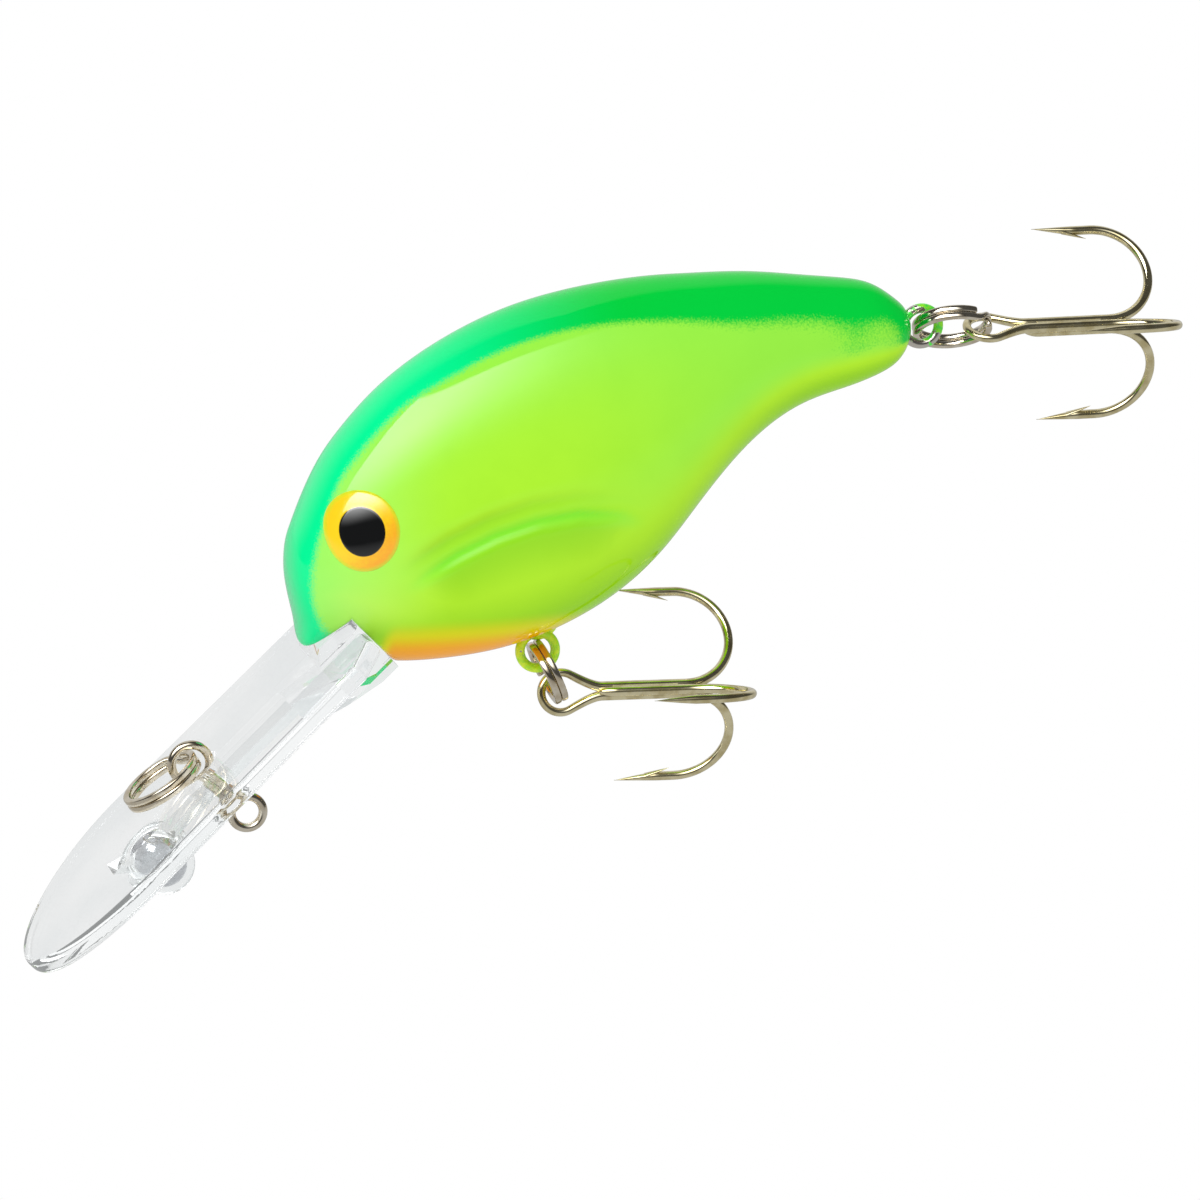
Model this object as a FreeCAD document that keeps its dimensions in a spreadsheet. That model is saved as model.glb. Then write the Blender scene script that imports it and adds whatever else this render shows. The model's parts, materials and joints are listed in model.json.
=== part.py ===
import FreeCAD, Part
import math
import os

# A deep-diving crankbait: a hollow two-half body, a clear diving bill with a wire line tie and
# a weight ball, two wire hook hangers, split rings and two treble hooks.
# Frame: millimetres, origin at the centre of the line-tie split ring, +X towards the tail,
# +Z up, the fish's left side towards -Y. The body swims nose down, as it does on the retrieve.

V = FreeCAD.Vector
Y_AXIS = V(0, 1, 0)

SIZES = [
    # alias, value, what it is
    ("nose_x", 13.0, "front of the nose"),
    ("body_long", 64.9, "nose to tail along X"),
    ("body_wide", 19.5, "widest place of the body"),
    ("body_base", 11.3, "lowest line of the body"),
    ("body_tall", 38.3, "lowest line to the highest line of the body"),
    ("wall_thick", 1.5, "shell wall"),
    ("rib_thick", 1.2, "bulkheads and shelves in the shell"),
    ("part_gap", 0.05, "gap between pieces that fit"),
    ("post_radius", 1.1, "locating pegs"),
    ("post_reach", 1.6, "how far a locating peg stands out of its half"),
    ("bill_x", 3.63, "line tie on the bill's top face"),
    ("bill_z", 0.88, "line tie on the bill's top face"),
    ("bill_pitch", 43.25, "bill's slope, degrees"),
    ("bill_tip", 25.85, "line tie to the tip of the bill"),
    ("bill_root", 21.85, "line tie to the end of the bill's wings"),
    ("bill_half", 13.2, "half the bill's width"),
    ("bill_thick", 2.0, "plate of the bill"),
    ("bill_droop", 1.0, "how far the tip of the bill bends down"),
    ("keel_wide", 4.0, "rib under the bill"),
    ("keel_deep", 2.0, "rib under the bill"),
    ("root_wide", 11.0, "block where the bill meets the body"),
    ("tongue_wide", 8.0, "tongue of the bill inside the body"),
    ("tongue_long", 8.6, "tongue of the bill inside the body"),
    ("tongue_thick", 4.2, "tongue of the bill inside the body"),
    ("ball_radius", 2.38, "weight ball in the bill, 3/16 inch"),
    ("ball_back", 9.15, "weight ball ahead of the line tie"),
    ("ball_drop", 4.45, "weight ball under the bill's top face"),
    ("dome_wall", 0.8, "clear wall round the weight ball"),
    ("tie_wire", 0.46, "line tie wire radius"),
    ("tie_loop", 1.95, "line tie eye, centre line radius"),
    ("tie_rise", 1.02, "line tie eye above the bill's top face"),
    ("tie_foot", 1.65, "lower loop, centre line radius"),
    ("tie_drop", 6.85, "lower loop under the bill's top face"),
    ("tie_lean", 0.47, "lower loop nearer the body than the eye"),
    ("tie_dish_radius", 2.6, "dish round the line tie eye"),
    ("tie_dish_deep", 0.35, "dish round the line tie eye"),
    ("tie_ring_tilt", 10.0, "line tie ring raised off the bill, degrees"),
    ("hanger_wire", 0.5, "hanger wire radius"),
    ("hanger_loop", 1.85, "hanger eye, centre line radius"),
    ("belly_x", 38.99, "belly hanger's outer eye"),
    ("belly_z", 11.32, "belly hanger's outer eye"),
    ("tail_x", 79.4, "tail hanger's outer eye"),
    ("tail_z", 43.1, "tail hanger's outer eye"),
    ("ring_radial", 0.75, "split ring wire, across"),
    ("ring_axial", 0.72, "split ring wire, along the ring's axis"),
    ("ring_gap", 0.02, "between the two coils of a split ring"),
    ("tie_ring", 7.95, "line tie split ring, centre line diameter"),
    ("belly_ring", 6.2, "belly split ring, centre line diameter"),
    ("tail_ring", 7.45, "tail split ring, centre line diameter"),
    ("hook_wire", 0.44, "hook wire radius"),
    ("hook_eye", 2.05, "hook eye, radius of the wire's centre line"),
    ("hook_neck", 4.4, "hook eye to where its wires lie side by side"),
    ("hook_shank", 13.2, "hook eye to the start of the bend"),
    ("hook_bend", 5.25, "round bend, centre line radius"),
    ("hook_arm", 6.3, "bend to the point"),
    ("hook_point", 2.4, "tapered part of the point"),
    ("eye_tall", 8.8, "eye"),
    ("eye_wide", 7.7, "eye"),
    ("eye_deep", 2.6, "eye, outer dome to inner dome"),
    ("eye_x", 19.0, "centre of the eye"),
    ("eye_z", 26.7, "centre of the eye"),
    ("slug_radius", 2.4, "belly ballast"),
    ("slug_long", 9.0, "belly ballast"),
    ("slug_x", 32.0, "belly ballast"),
    ("slug_z", 17.5, "belly ballast"),
    ("shot_radius", 2.38, "rattle ball, 3/16 inch"),
    ("room_front", 31.5, "front wall of the rattle rooms"),
    ("room_rear", 45.0, "rear wall of the rattle rooms"),
    ("room_low", 24.2, "middle of the lowest rattle room"),
    ("room_step", 6.1, "rattle room to rattle room"),
]

# Body sections: share of the length, then the lowest and highest line as shares of the height,
# then the half width as a share of the widest half width.
SECTIONS = [
    (0.000, 0.262, 0.276, 0.05),
    (0.002, 0.220, 0.312, 0.22),
    (0.007, 0.172, 0.355, 0.38),
    (0.017, 0.107, 0.400, 0.51),
    (0.034, 0.058, 0.468, 0.63),
    (0.062, 0.044, 0.558, 0.74),
    (0.100, 0.028, 0.642, 0.83),
    (0.154, 0.004, 0.736, 0.91),
    (0.231, 0.000, 0.830, 0.975),
    (0.324, 0.016, 0.909, 1.00),
    (0.416, 0.060, 0.958, 0.985),
    (0.508, 0.138, 0.986, 0.925),
    (0.586, 0.246, 0.998, 0.845),
    (0.647, 0.370, 1.000, 0.765),
    (0.709, 0.494, 1.000, 0.680),
    (0.770, 0.586, 0.994, 0.600),
    (0.832, 0.644, 0.982, 0.530),
    (0.894, 0.676, 0.970, 0.475),
    (0.940, 0.702, 0.952, 0.430),
    (0.974, 0.732, 0.916, 0.355),
    (0.992, 0.768, 0.888, 0.255),
    (1.000, 0.794, 0.862, 0.140),
]
WIDEST = 0.45           # height of the widest line in a section, as a share of the section
FULLNESS = 2.15         # power of the section's rounded outline, 2 is an ellipse
ARC_STEPS = 8           # steps of the outline from one side to the other
HOLLOW_SECTIONS = (5, 18)   # the sections between which the body is hollow
FAR = 40                # beyond the body on every side

PEG_PLACES = [(22.5, 33.5), (49.5, 42.5), (63.0, 41.5), (52.0, 28.5)]
BOSS_RADIUS = 2.3       # solid round each locating peg
PEG_SPARE = 0.2         # depth left past the end of a peg
HANGER_CROSSING = 0.3   # how far the two eyes of a hanger run into each other
HANGER_STAGGER = 0.2    # the inner eye's wire lies a little to the right of the outer eye's
HANGER_BLOCK = 3.9      # solid round the inner eye of a hanger

EYE_SINK = 0.35         # the eye's middle inside the skin
EYE_SEAT_GROW = 0.03    # glue round the eye
EYE_TURN = 17.0         # the eye looks forward by this angle
EYE_LIFT = 11.0         # and up by this angle
EYE_PAD = 1.0           # wall behind the eye

NOTCH_ROOF = 1.8        # the body's cut-out above the bill's top face
TONGUE_Z = -2.6         # middle of the tongue below the bill's top face
TONGUE_PIN = 5.2        # locating pin from the front of the tongue
PIN_RADIUS = 1.2        # locating pin through the tongue
BILL_RIM = 0.7          # rounding of the plate's rims
BILL_SHOULDER = 1.24    # length of the rounded tip, as a share of half the width
BILL_TAPER = 0.7        # how much narrower each side is at the root
BILL_CORNER = 3.0       # cut corner of the wings
BEND_START = -6.0       # where the plate starts to bend down towards the tip
SUNK = 0.6              # how far a rib or block runs into the plate
CHIN_DROP = -6.5        # underside of the root block
CHIN_FRONT = 2.2        # length of the root block's flat underside
GUSSET_HALF = 3.6       # half width of the root block under the plate
GUSSET_LONG = 10.5      # length of the root block under the plate
GUSSET_EDGE = 1.2       # chamfer along the root block's underside
NECK_LONG = 6.2         # length of the root block above the plate
NECK_SLOPE = 1.8        # length of its sloped front
CAP_RIM_THICK = 0.5     # rim of the weight ball's cap
CAP_RIM_WIDE = 0.6
TIE_FIT = 0.02          # clear plastic round the wire and the ball

COIL_TURN = 330.0       # degrees of each flat coil, the rest is the step between the coils
RING_CORNER = 0.22      # rounded corner of the ring's wire
STEP_STATIONS = 6       # sections of the step between the coils
BELLY_RING_PITCH = -66.0
TAIL_RING_PITCH = -4.0
TAIL_RING_ROLL = -34.0
BELLY_RING_SLACK = 0.6  # how far past the hanger eye's middle the ring's wire sits
TAIL_RING_SLACK = 0.4
RING_PHASE = 70.0       # turns the step between the coils to the ring's far side

TIP_RADIUS = 0.04       # blunt end of a point or barb
BARB_LEAN = 24.0        # angle between the barb and the arm
BARB_LONG = 1.5
BARB_BACK = 0.7         # root of the barb behind the start of the point
EYE_LEAVE = 62.0        # degrees round the hook's eye where the wire turns to the shank
SHANK_GAP = 0.02        # between the shank wires and the middle plane
BRAZE_FIT = 0.004       # between the braze and the wires
HOOK_SPREAD = 120.0     # degrees between the three hooks
BELLY_HOOK_POSE = (-1.5, -8.0)  # pitch, and turn about the shank
TAIL_HOOK_POSE = (0.0, 112.0)
BELLY_HOOK_SHIFT = V(0.15, 0, 0.55)  # the belly hook's eye hangs to one side of its ring

doc = FreeCAD.newDocument("crankbait_lure")
sheet = doc.addObject("Spreadsheet::Sheet", "sizes")
for line, (alias, value, note) in enumerate(SIZES, start=1):
    sheet.set("A%d" % line, note)
    sheet.set("B%d" % line, str(value))
    sheet.setAlias("B%d" % line, alias)
doc.recompute()

SUB_PARTS = []


def size(alias):
    return float(sheet.get(alias))


def bind(feature, **aliases):
    """Ties each named property of a feature to a cell of the sheet."""
    for name, alias in aliases.items():
        feature.setExpression(name, "sizes." + alias)


def sub_part(feature, label):
    feature.Label = label
    SUB_PARTS.append(feature)
    return feature


def shape_part(label, shape, placement=FreeCAD.Placement()):
    feature = doc.addObject("Part::Feature", label)
    feature.Shape = shape
    feature.Placement = placement
    return sub_part(feature, label)


# --- frames -----------------------------------------------------------------------------------

def turn_y(degrees, base=V(0, 0, 0)):
    """A placement at base, turned nose-up by the angle."""
    return FreeCAD.Placement(base, FreeCAD.Rotation(Y_AXIS, -degrees))


def bill_frame():
    """x runs up the bill to the body, z is square to its top face, the line tie at the origin."""
    return turn_y(size("bill_pitch"), V(size("bill_x"), 0, size("bill_z")))


def heading(pitch, length):
    """A vector in the middle plane, pitch degrees above +X."""
    angle = math.radians(pitch)
    return V(math.cos(angle), 0, math.sin(angle)) * length


def moved(shape, placement):
    copy = shape.copy()
    copy.Placement = placement.multiply(copy.Placement)
    return copy


def box(x0, x1, y0, y1, z0, z1):
    return Part.makeBox(x1 - x0, y1 - y0, z1 - z0, V(x0, y0, z0))


def cross_bar(x, z, radius, y0, y1):
    """A round bar along Y."""
    return Part.makeCylinder(radius, y1 - y0, V(x, y0, z), Y_AXIS)


# --- body -------------------------------------------------------------------------------------

def half_outline(x, low, high, half_width, side):
    """The upper (side 1) or lower (side -1) outline of a section, from +Y to -Y."""
    middle = low + WIDEST * (high - low)
    reach = (high - middle) if side > 0 else (middle - low)
    points = []
    for step in range(ARC_STEPS + 1):
        angle = math.pi * step / ARC_STEPS
        c, s = math.cos(angle), math.sin(angle)
        y = half_width * math.copysign(abs(c) ** (2 / FULLNESS), c)
        z = middle + side * reach * abs(s) ** (2 / FULLNESS)
        points.append(V(x, y, z))
    curve = Part.BSplineCurve()
    curve.interpolate(Points=points, InitialTangent=V(0, 0, side), FinalTangent=V(0, 0, -side))
    return curve.toShape()


def body_form(inset=0.0, first=0, last=len(SECTIONS)):
    """The loft through the sections, drawn in by inset."""
    long, base, tall = size("body_long"), size("body_base"), size("body_tall")
    half = size("body_wide") / 2
    wires = []
    for share, low, high, wide in SECTIONS[first:last]:
        x = size("nose_x") + share * long
        z0 = base + low * tall + inset
        z1 = base + high * tall - inset
        edges = [half_outline(x, z0, z1, wide * half - inset, side) for side in (1, -1)]
        wires.append(Part.Wire(Part.__sortEdges__(edges)))
    return Part.makeLoft(wires, True, False)


def notch_box(grow=0.0):
    """What the bill's root takes out of the body, in the bill's frame."""
    return box(-5, size("bill_root") + grow, -FAR, FAR, -30, NOTCH_ROOF + grow)


def tongue(grow=0.0):
    """The bill's tongue inside the body, in the bill's frame."""
    half_w = size("tongue_wide") / 2 + grow
    half_t = size("tongue_thick") / 2 + grow
    start = size("bill_root") - 1.0
    end = size("bill_root") + size("tongue_long") + grow
    return box(start, end, -half_w, half_w, TONGUE_Z - half_t, TONGUE_Z + half_t)


def hanger_places():
    """Outer and inner eye centres of the two hook hangers."""
    step = 2 * size("hanger_loop") - HANGER_CROSSING
    belly = V(size("belly_x"), 0, size("belly_z"))
    tail = V(size("tail_x"), 0, size("tail_z"))
    stagger = V(0, HANGER_STAGGER, 0)
    return {
        "belly": (belly, belly + V(0, 0, step) + stagger),
        "tail": (tail, tail + V(-step, 0, 0) + stagger),
    }


def hanger_shape(outer, inner, grow=0.0):
    """A figure-eight of round wire in the middle plane."""
    loops = [
        Part.makeTorus(size("hanger_loop"), size("hanger_wire") + grow, centre, Y_AXIS)
        for centre in (outer, inner)
    ]
    return loops[0].fuse(loops[1])


def tongue_pin_place():
    return bill_frame().multVec(V(size("bill_root") + TONGUE_PIN, 0, TONGUE_Z))


def room_walls():
    """Two bulkheads and the shelves between them, round the rattle rooms."""
    half_rib = size("rib_thick") / 2
    front, rear = size("room_front"), size("room_rear")
    walls = [box(x - half_rib, x + half_rib, -FAR, FAR, 0, 60) for x in (front, rear)]
    for shelf in range(4):
        z = size("room_low") + (shelf - 0.5) * size("room_step")
        walls.append(box(front, rear, -FAR, FAR, z - half_rib, z + half_rib))
    return walls


def solid_zones():
    """The places inside the body that stay solid."""
    wall = size("wall_thick")
    zones = room_walls()
    for x, z in PEG_PLACES:
        zones.append(cross_bar(x, z, BOSS_RADIUS, -FAR, FAR))
    for outer, inner in hanger_places().values():
        zones.append(cross_bar(inner.x, inner.z, HANGER_BLOCK, -FAR, FAR))
    zones.append(cross_bar(size("slug_x"), size("slug_z"), size("slug_radius") + wall, -FAR, FAR))
    zones.append(moved(notch_box(wall), bill_frame()))
    zones.append(moved(tongue(wall), bill_frame()))
    eye_reach = size("eye_tall") / 2 + size("eye_deep") / 2 + EYE_PAD
    for side in (1, -1):
        zones.append(Part.makeSphere(eye_reach, eye_frame(side).Base))
    return zones


def body_solid():
    """The whole body with its rooms, before it is split in two halves."""
    outer = body_form()
    room = body_form(size("wall_thick"), *HOLLOW_SECTIONS)
    for zone in solid_zones():
        room = room.cut(zone)
    gap = size("part_gap")
    slug_half = size("slug_long") / 2 + gap
    cuts = [room, moved(notch_box(), bill_frame()), moved(tongue(gap), bill_frame())]
    cuts += [hanger_shape(*eyes, gap) for eyes in hanger_places().values()]
    cuts.append(cross_bar(size("slug_x"), size("slug_z"), size("slug_radius") + gap, -slug_half, slug_half))
    cuts += [moved(eye_lens(EYE_SEAT_GROW), eye_frame(side)) for side in (1, -1)]
    body = outer
    for cut in cuts:
        body = body.cut(cut)
    return body


def skin_y(x, z):
    """Half width of the body at a place on its side."""
    ray = Part.LineSegment(V(x, 0, z), V(x, -30, z)).toShape()
    inside = ray.common(BODY)
    return -inside.BoundBox.YMin


def eye_lens(grow=0.0):
    """The eye in its own frame: a lens, y through its middle and z up its height."""
    lens = Part.makeSphere(1.0)
    squash = FreeCAD.Matrix()
    squash.scale(size("eye_wide") / 2 + grow, size("eye_deep") / 2 + grow, size("eye_tall") / 2 + grow)
    return lens.transformGeometry(squash)


def eye_frame(side):
    turn = FreeCAD.Rotation(V(0, 0, 1), side * EYE_TURN)
    lift = FreeCAD.Rotation(V(1, 0, 0), side * EYE_LIFT)
    place = V(size("eye_x"), side * (EYE_SKIN - EYE_SINK), size("eye_z"))
    return FreeCAD.Placement(place, turn.multiply(lift))


BODY = body_form()
EYE_SKIN = skin_y(size("eye_x"), size("eye_z"))


def make_shells():
    """The two halves, with locating pegs between them and pins through the bill's tongue."""
    whole = body_solid()
    left = whole.common(box(0, 100, -FAR, 0, 0, 60))
    right = whole.common(box(0, 100, 0, FAR, 0, 60))
    reach, radius, gap = size("post_reach"), size("post_radius"), size("part_gap")
    for x, z in PEG_PLACES:
        left = left.fuse(cross_bar(x, z, radius, -0.5, reach))
        right = right.cut(cross_bar(x, z, radius + gap, -0.5, reach + PEG_SPARE))
    pin = tongue_pin_place()
    root = size("tongue_wide") / 2 + 0.5
    left = left.fuse(cross_bar(pin.x, pin.z, PIN_RADIUS, -root, 0))
    right = right.fuse(cross_bar(pin.x, pin.z, PIN_RADIUS, 0, root))
    shape_part("left_body_shell", left.removeSplitter())
    shape_part("right_body_shell", right.removeSplitter())



def make_weights():
    """Loose weights: the ballast slug and the rattle balls, all turned or ground steel."""
    slug = doc.addObject("Part::Cylinder", "slug")
    bind(slug, Radius="slug_radius", Height="slug_long")
    slug.Placement = FreeCAD.Placement(
        V(size("slug_x"), -size("slug_long") / 2, size("slug_z")),
        FreeCAD.Rotation(V(0, 0, 1), Y_AXIS),
    )
    sub_part(slug, "belly_ballast_slug")
    start = size("room_front") + size("rib_thick") / 2 + size("shot_radius") + size("part_gap")
    for number in range(3):
        shot = doc.addObject("Part::Sphere", "shot")
        bind(shot, Radius="shot_radius")
        shot.Placement.Base = V(start, 0, size("room_low") + number * size("room_step"))
        sub_part(shot, "rattle_ball_%d" % (number + 1))


# --- hangers and eyes ---------------------------------------------------------------------------

def torus(name, centre, loop, wire):
    """A ring of round wire standing in the middle plane."""
    ring = doc.addObject("Part::Torus", name)
    bind(ring, Radius1=loop, Radius2=wire)
    ring.Placement = FreeCAD.Placement(centre, FreeCAD.Rotation(V(0, 0, 1), Y_AXIS))
    return ring


def fuse_all(name, pieces):
    union = doc.addObject("Part::MultiFuse", name)
    union.Shapes = pieces
    return union


def make_hangers():
    for name, (outer, inner) in hanger_places().items():
        loops = [torus("eye", place, "hanger_loop", "hanger_wire") for place in (outer, inner)]
        sub_part(fuse_all("hanger", loops), "%s_hook_hanger" % name)


def make_eyes():
    for side, name in ((-1, "left"), (1, "right")):
        shape_part("%s_eye" % name, eye_lens(), eye_frame(side))


# --- bill ---------------------------------------------------------------------------------------

def side_plate(points, half_width):
    """A flat outline in the bill's x-z plane, as thick as the width asks for."""
    wire = Part.makePolygon([V(x, -half_width, z) for x, z in points + points[:1]])
    return Part.Face(wire).extrude(V(0, 2 * half_width, 0))


def bill_outline():
    """The bill from above: nearly straight sides and a rounded tip."""
    tip, root = -size("bill_tip"), size("bill_root") - size("part_gap")
    half = size("bill_half")
    shoulder = tip + BILL_SHOULDER * half
    rear_half = half - BILL_TAPER
    ellipse = Part.Ellipse(V(tip, 0, 0), V(shoulder, half, 0), V(shoulder, 0, 0))
    curve = Part.ArcOfEllipse(ellipse, -math.pi / 2, math.pi / 2).toShape()
    ends = sorted((vertex.Point for vertex in curve.Vertexes), key=lambda point: point.y)
    low, high = ends
    side_end, wing_end = root - BILL_CORNER, rear_half - BILL_CORNER
    points = [high, V(side_end, rear_half, 0), V(root, wing_end, 0)]
    points += [V(root, -wing_end, 0), V(side_end, -rear_half, 0), low]
    edges = [curve] + [Part.makeLine(a, b) for a, b in zip(points, points[1:])]
    return Part.Wire(Part.__sortEdges__(edges))


def bill_plate():
    """The clear plate, bent down a little towards its tip, with rounded rims."""
    tip, root, thick = -size("bill_tip"), size("bill_root"), size("bill_thick")
    radius = (tip - BEND_START) ** 2 / (2 * size("bill_droop"))
    angle = math.atan2(BEND_START - tip + 4.0, radius)

    def line(depth):
        """Top (0) or underside of the plate, from the root to past the tip."""
        reach = radius - depth
        centre = V(BEND_START, 0, -radius)
        mid = centre + V(-math.sin(angle / 2), 0, math.cos(angle / 2)) * reach
        end = centre + V(-math.sin(angle), 0, math.cos(angle)) * reach
        start = V(BEND_START, 0, -depth)
        return [Part.makeLine(V(root, 0, -depth), start), Part.Arc(start, mid, end).toShape()], end

    top, top_end = line(0)
    under, under_end = line(thick)
    closing = [Part.makeLine(top_end, under_end), Part.makeLine(V(root, 0, 0), V(root, 0, -thick))]
    profile = Part.Face(Part.Wire(Part.__sortEdges__(top + under + closing)))
    slab = profile.extrude(V(0, 40, 0))
    slab.translate(V(0, -20, 0))
    prism = Part.Face(bill_outline()).extrude(V(0, 0, 20))
    prism.translate(V(0, 0, -12))
    plate = slab.common(prism)
    return plate.makeFillet(BILL_RIM, plate.Edges)


def bill_solid():
    """The one-piece clear bill in its own frame."""
    root = size("bill_root") - size("part_gap")
    thick, keel_half = size("bill_thick"), size("keel_wide") / 2
    keel_low = -thick - size("keel_deep")
    roof = NOTCH_ROOF - size("part_gap")
    nose = -size("ball_back")
    top = SUNK - thick
    keel = side_plate([(nose - 5.0, top), (root, top), (root, keel_low), (nose - 2.0, keel_low)], keel_half)
    front = root - NECK_LONG
    neck_points = [(front, -SUNK), (front + NECK_SLOPE, roof), (root, roof), (root, -SUNK)]
    neck = side_plate(neck_points, size("root_wide") / 2)
    back, flat = root - GUSSET_LONG, root - CHIN_FRONT
    chin_points = [(back, top), (root, top), (root, CHIN_DROP), (flat, CHIN_DROP), (back, keel_low)]
    chin = side_plate(chin_points, GUSSET_HALF)
    chin = chin.makeChamfer(GUSSET_EDGE, lower_edges(chin, CHIN_DROP + 0.1))
    dome = Part.makeSphere(size("ball_radius") + size("dome_wall"), ball_place())
    upper_dome = dome.common(box(-FAR, FAR, -FAR, FAR, -size("ball_drop"), 0))
    solid = bill_plate().fuse([keel, neck, chin, tongue(), upper_dome])
    for cut in (ball_room(), tie_dish(), tie_shape(TIE_FIT), tongue_hole()):
        solid = solid.cut(cut)
    return solid.removeSplitter()


def ball_room():
    return Part.makeSphere(size("ball_radius") + TIE_FIT, ball_place())


def tie_dish():
    """The shallow dish round the line tie's eye."""
    radius, deep = size("tie_dish_radius"), size("tie_dish_deep")
    return Part.makeCone(radius - deep, radius, deep, V(0, 0, -deep))


def tongue_hole():
    radius = PIN_RADIUS + size("part_gap")
    return cross_bar(size("bill_root") + TONGUE_PIN, TONGUE_Z, radius, -FAR, FAR)


def lower_edges(shape, ceiling):
    """The long edges along the lowest face of a shape."""
    return [edge for edge in shape.Edges
            if edge.BoundBox.ZMax < ceiling and edge.BoundBox.YLength < 0.01]


def ball_place():
    return V(-size("ball_back"), 0, -size("ball_drop"))


def cap_solid():
    """The clear cap glued over the weight ball, with a rim that sits on the keel rib."""
    centre = ball_place()
    outer = Part.makeSphere(size("ball_radius") + size("dome_wall"), centre)
    rim_top = V(centre.x, 0, centre.z - CAP_RIM_THICK)
    rim = Part.makeCylinder(size("ball_radius") + size("dome_wall") + CAP_RIM_WIDE, CAP_RIM_THICK, rim_top)
    lower = box(-FAR, FAR, -FAR, FAR, -FAR, centre.z - 0.01)
    cap = outer.common(lower).fuse(rim.common(lower)).cut(ball_room())
    return cap.removeSplitter()


def tie_shape(grow=0.0):
    """The line tie: an eye over the bill, two legs through it and a loop under it."""
    eye = V(0, 0, size("tie_rise"))
    foot = V(size("tie_lean"), 0, -size("tie_drop"))
    wire = size("tie_wire") + grow
    shape = Part.makeTorus(size("tie_loop"), wire, eye, Y_AXIS)
    shape = shape.fuse(Part.makeTorus(size("tie_foot"), wire, foot, Y_AXIS))
    for side in (-1, 1):
        offset = V(side * (size("tie_wire") + 0.01), 0, 0)
        top = eye + offset - V(0, 0, size("tie_loop"))
        low = foot + offset + V(0, 0, size("tie_foot"))
        shape = shape.fuse(Part.makeCylinder(wire, (low - top).Length, top, low - top))
    return shape


def make_bill():
    frame = bill_frame()
    shape_part("diving_bill", bill_solid(), frame)
    shape_part("weight_ball_cap", cap_solid(), frame)
    shape_part("line_tie_wire", tie_shape(), frame)
    ball = doc.addObject("Part::Sphere", "ball")
    bind(ball, Radius="ball_radius")
    ball.Placement.Base = frame.multVec(ball_place())
    sub_part(ball, "bill_weight_ball")


# --- split rings --------------------------------------------------------------------------------

def ring_profile(radius, height, degrees):
    """The wire's section at an angle round the ring."""
    wire = rounded(size("ring_radial") / 2, size("ring_axial") / 2)
    wire.translate(V(radius, 0, height))
    wire.rotate(V(0, 0, 0), V(0, 0, 1), degrees)
    return wire


def rounded(across, along):
    """A rectangle with round corners, in the x-z plane."""
    edges = []
    for number, (sx, sz) in enumerate(((1, 1), (-1, 1), (-1, -1), (1, -1))):
        centre = V(sx * (across - RING_CORNER), 0, sz * (along - RING_CORNER))
        arc = [centre + heading(90 * number + step, RING_CORNER) for step in (0, 45, 90)]
        edges.append(Part.Arc(*arc).toShape())
    lines = []
    for number, edge in enumerate(edges):
        after = edges[(number + 1) % 4]
        lines.append(Part.makeLine(edge.Vertexes[-1].Point, after.Vertexes[0].Point))
    return Part.Wire(Part.__sortEdges__(edges + lines))


def ring_shape(diameter):
    """Two flat coils of wire, joined by a short step, round z."""
    radius = diameter / 2
    rise = (size("ring_axial") + size("ring_gap")) / 2
    axis = V(0, 0, 1)
    low = Part.Face(ring_profile(radius, -rise, 0)).revolve(V(0, 0, 0), axis, COIL_TURN)
    high = Part.Face(ring_profile(radius, rise, 0)).revolve(V(0, 0, 0), axis, COIL_TURN)
    wires = []
    for station in range(STEP_STATIONS + 1):
        share = station / STEP_STATIONS
        height = -rise * math.cos(math.pi * share)
        wires.append(ring_profile(radius, height, COIL_TURN + share * (360 - COIL_TURN)))
    step = Part.makeLoft(wires, True, False)
    return low.fuse([high, step]).removeSplitter()


def ring_placement(centre, pitch, roll=0.0, phase=0.0):
    """The ring's plane holds a line pitched up from +X, and is rolled about that line."""
    turn = turn_y(pitch).Rotation
    turn = turn.multiply(FreeCAD.Rotation(V(1, 0, 0), roll))
    turn = turn.multiply(FreeCAD.Rotation(V(0, 0, 1), phase))
    return FreeCAD.Placement(centre, turn)


def ring_places():
    """Centre, pitch and roll of each split ring."""
    belly_eye, _ = hanger_places()["belly"]
    tail_eye, _ = hanger_places()["tail"]
    belly = belly_eye + heading(BELLY_RING_PITCH, size("belly_ring") / 2 - BELLY_RING_SLACK)
    tail = tail_eye + heading(TAIL_RING_PITCH, size("tail_ring") / 2 - TAIL_RING_SLACK)
    tie_pitch = size("bill_pitch") - size("tie_ring_tilt")
    return {
        "line_tie": (V(0, 0, 0), tie_pitch, 0.0, size("tie_ring")),
        "belly": (belly, BELLY_RING_PITCH, 0.0, size("belly_ring")),
        "tail": (tail, TAIL_RING_PITCH, TAIL_RING_ROLL, size("tail_ring")),
    }


def make_rings():
    for name, (centre, pitch, roll, diameter) in ring_places().items():
        placement = ring_placement(centre, pitch, roll, RING_PHASE)
        shape_part("%s_split_ring" % name, ring_shape(diameter), placement)


# --- treble hooks -------------------------------------------------------------------------------

def hook_run(start, direction):
    """Straight shank, round bend and arm of one hook, as path edges, with the arm's end."""
    bend, shank = size("hook_bend"), size("hook_shank")
    foot = V(shank, start.y, start.z)
    centre = foot + direction * bend
    far = centre + V(bend, 0, 0)
    top = centre + direction * bend
    end = top - V(size("hook_arm") - size("hook_point"), 0, 0)
    edges = [Part.makeLine(start, foot), Part.Arc(foot, far, top).toShape(), Part.makeLine(top, end)]
    return edges, end


def swept_wire(edges, start, tangent):
    """Round hook wire along a path."""
    section = Part.Wire(Part.makeCircle(size("hook_wire"), start, tangent))
    return Part.Wire(edges).makePipeShell([section], True, False)


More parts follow.
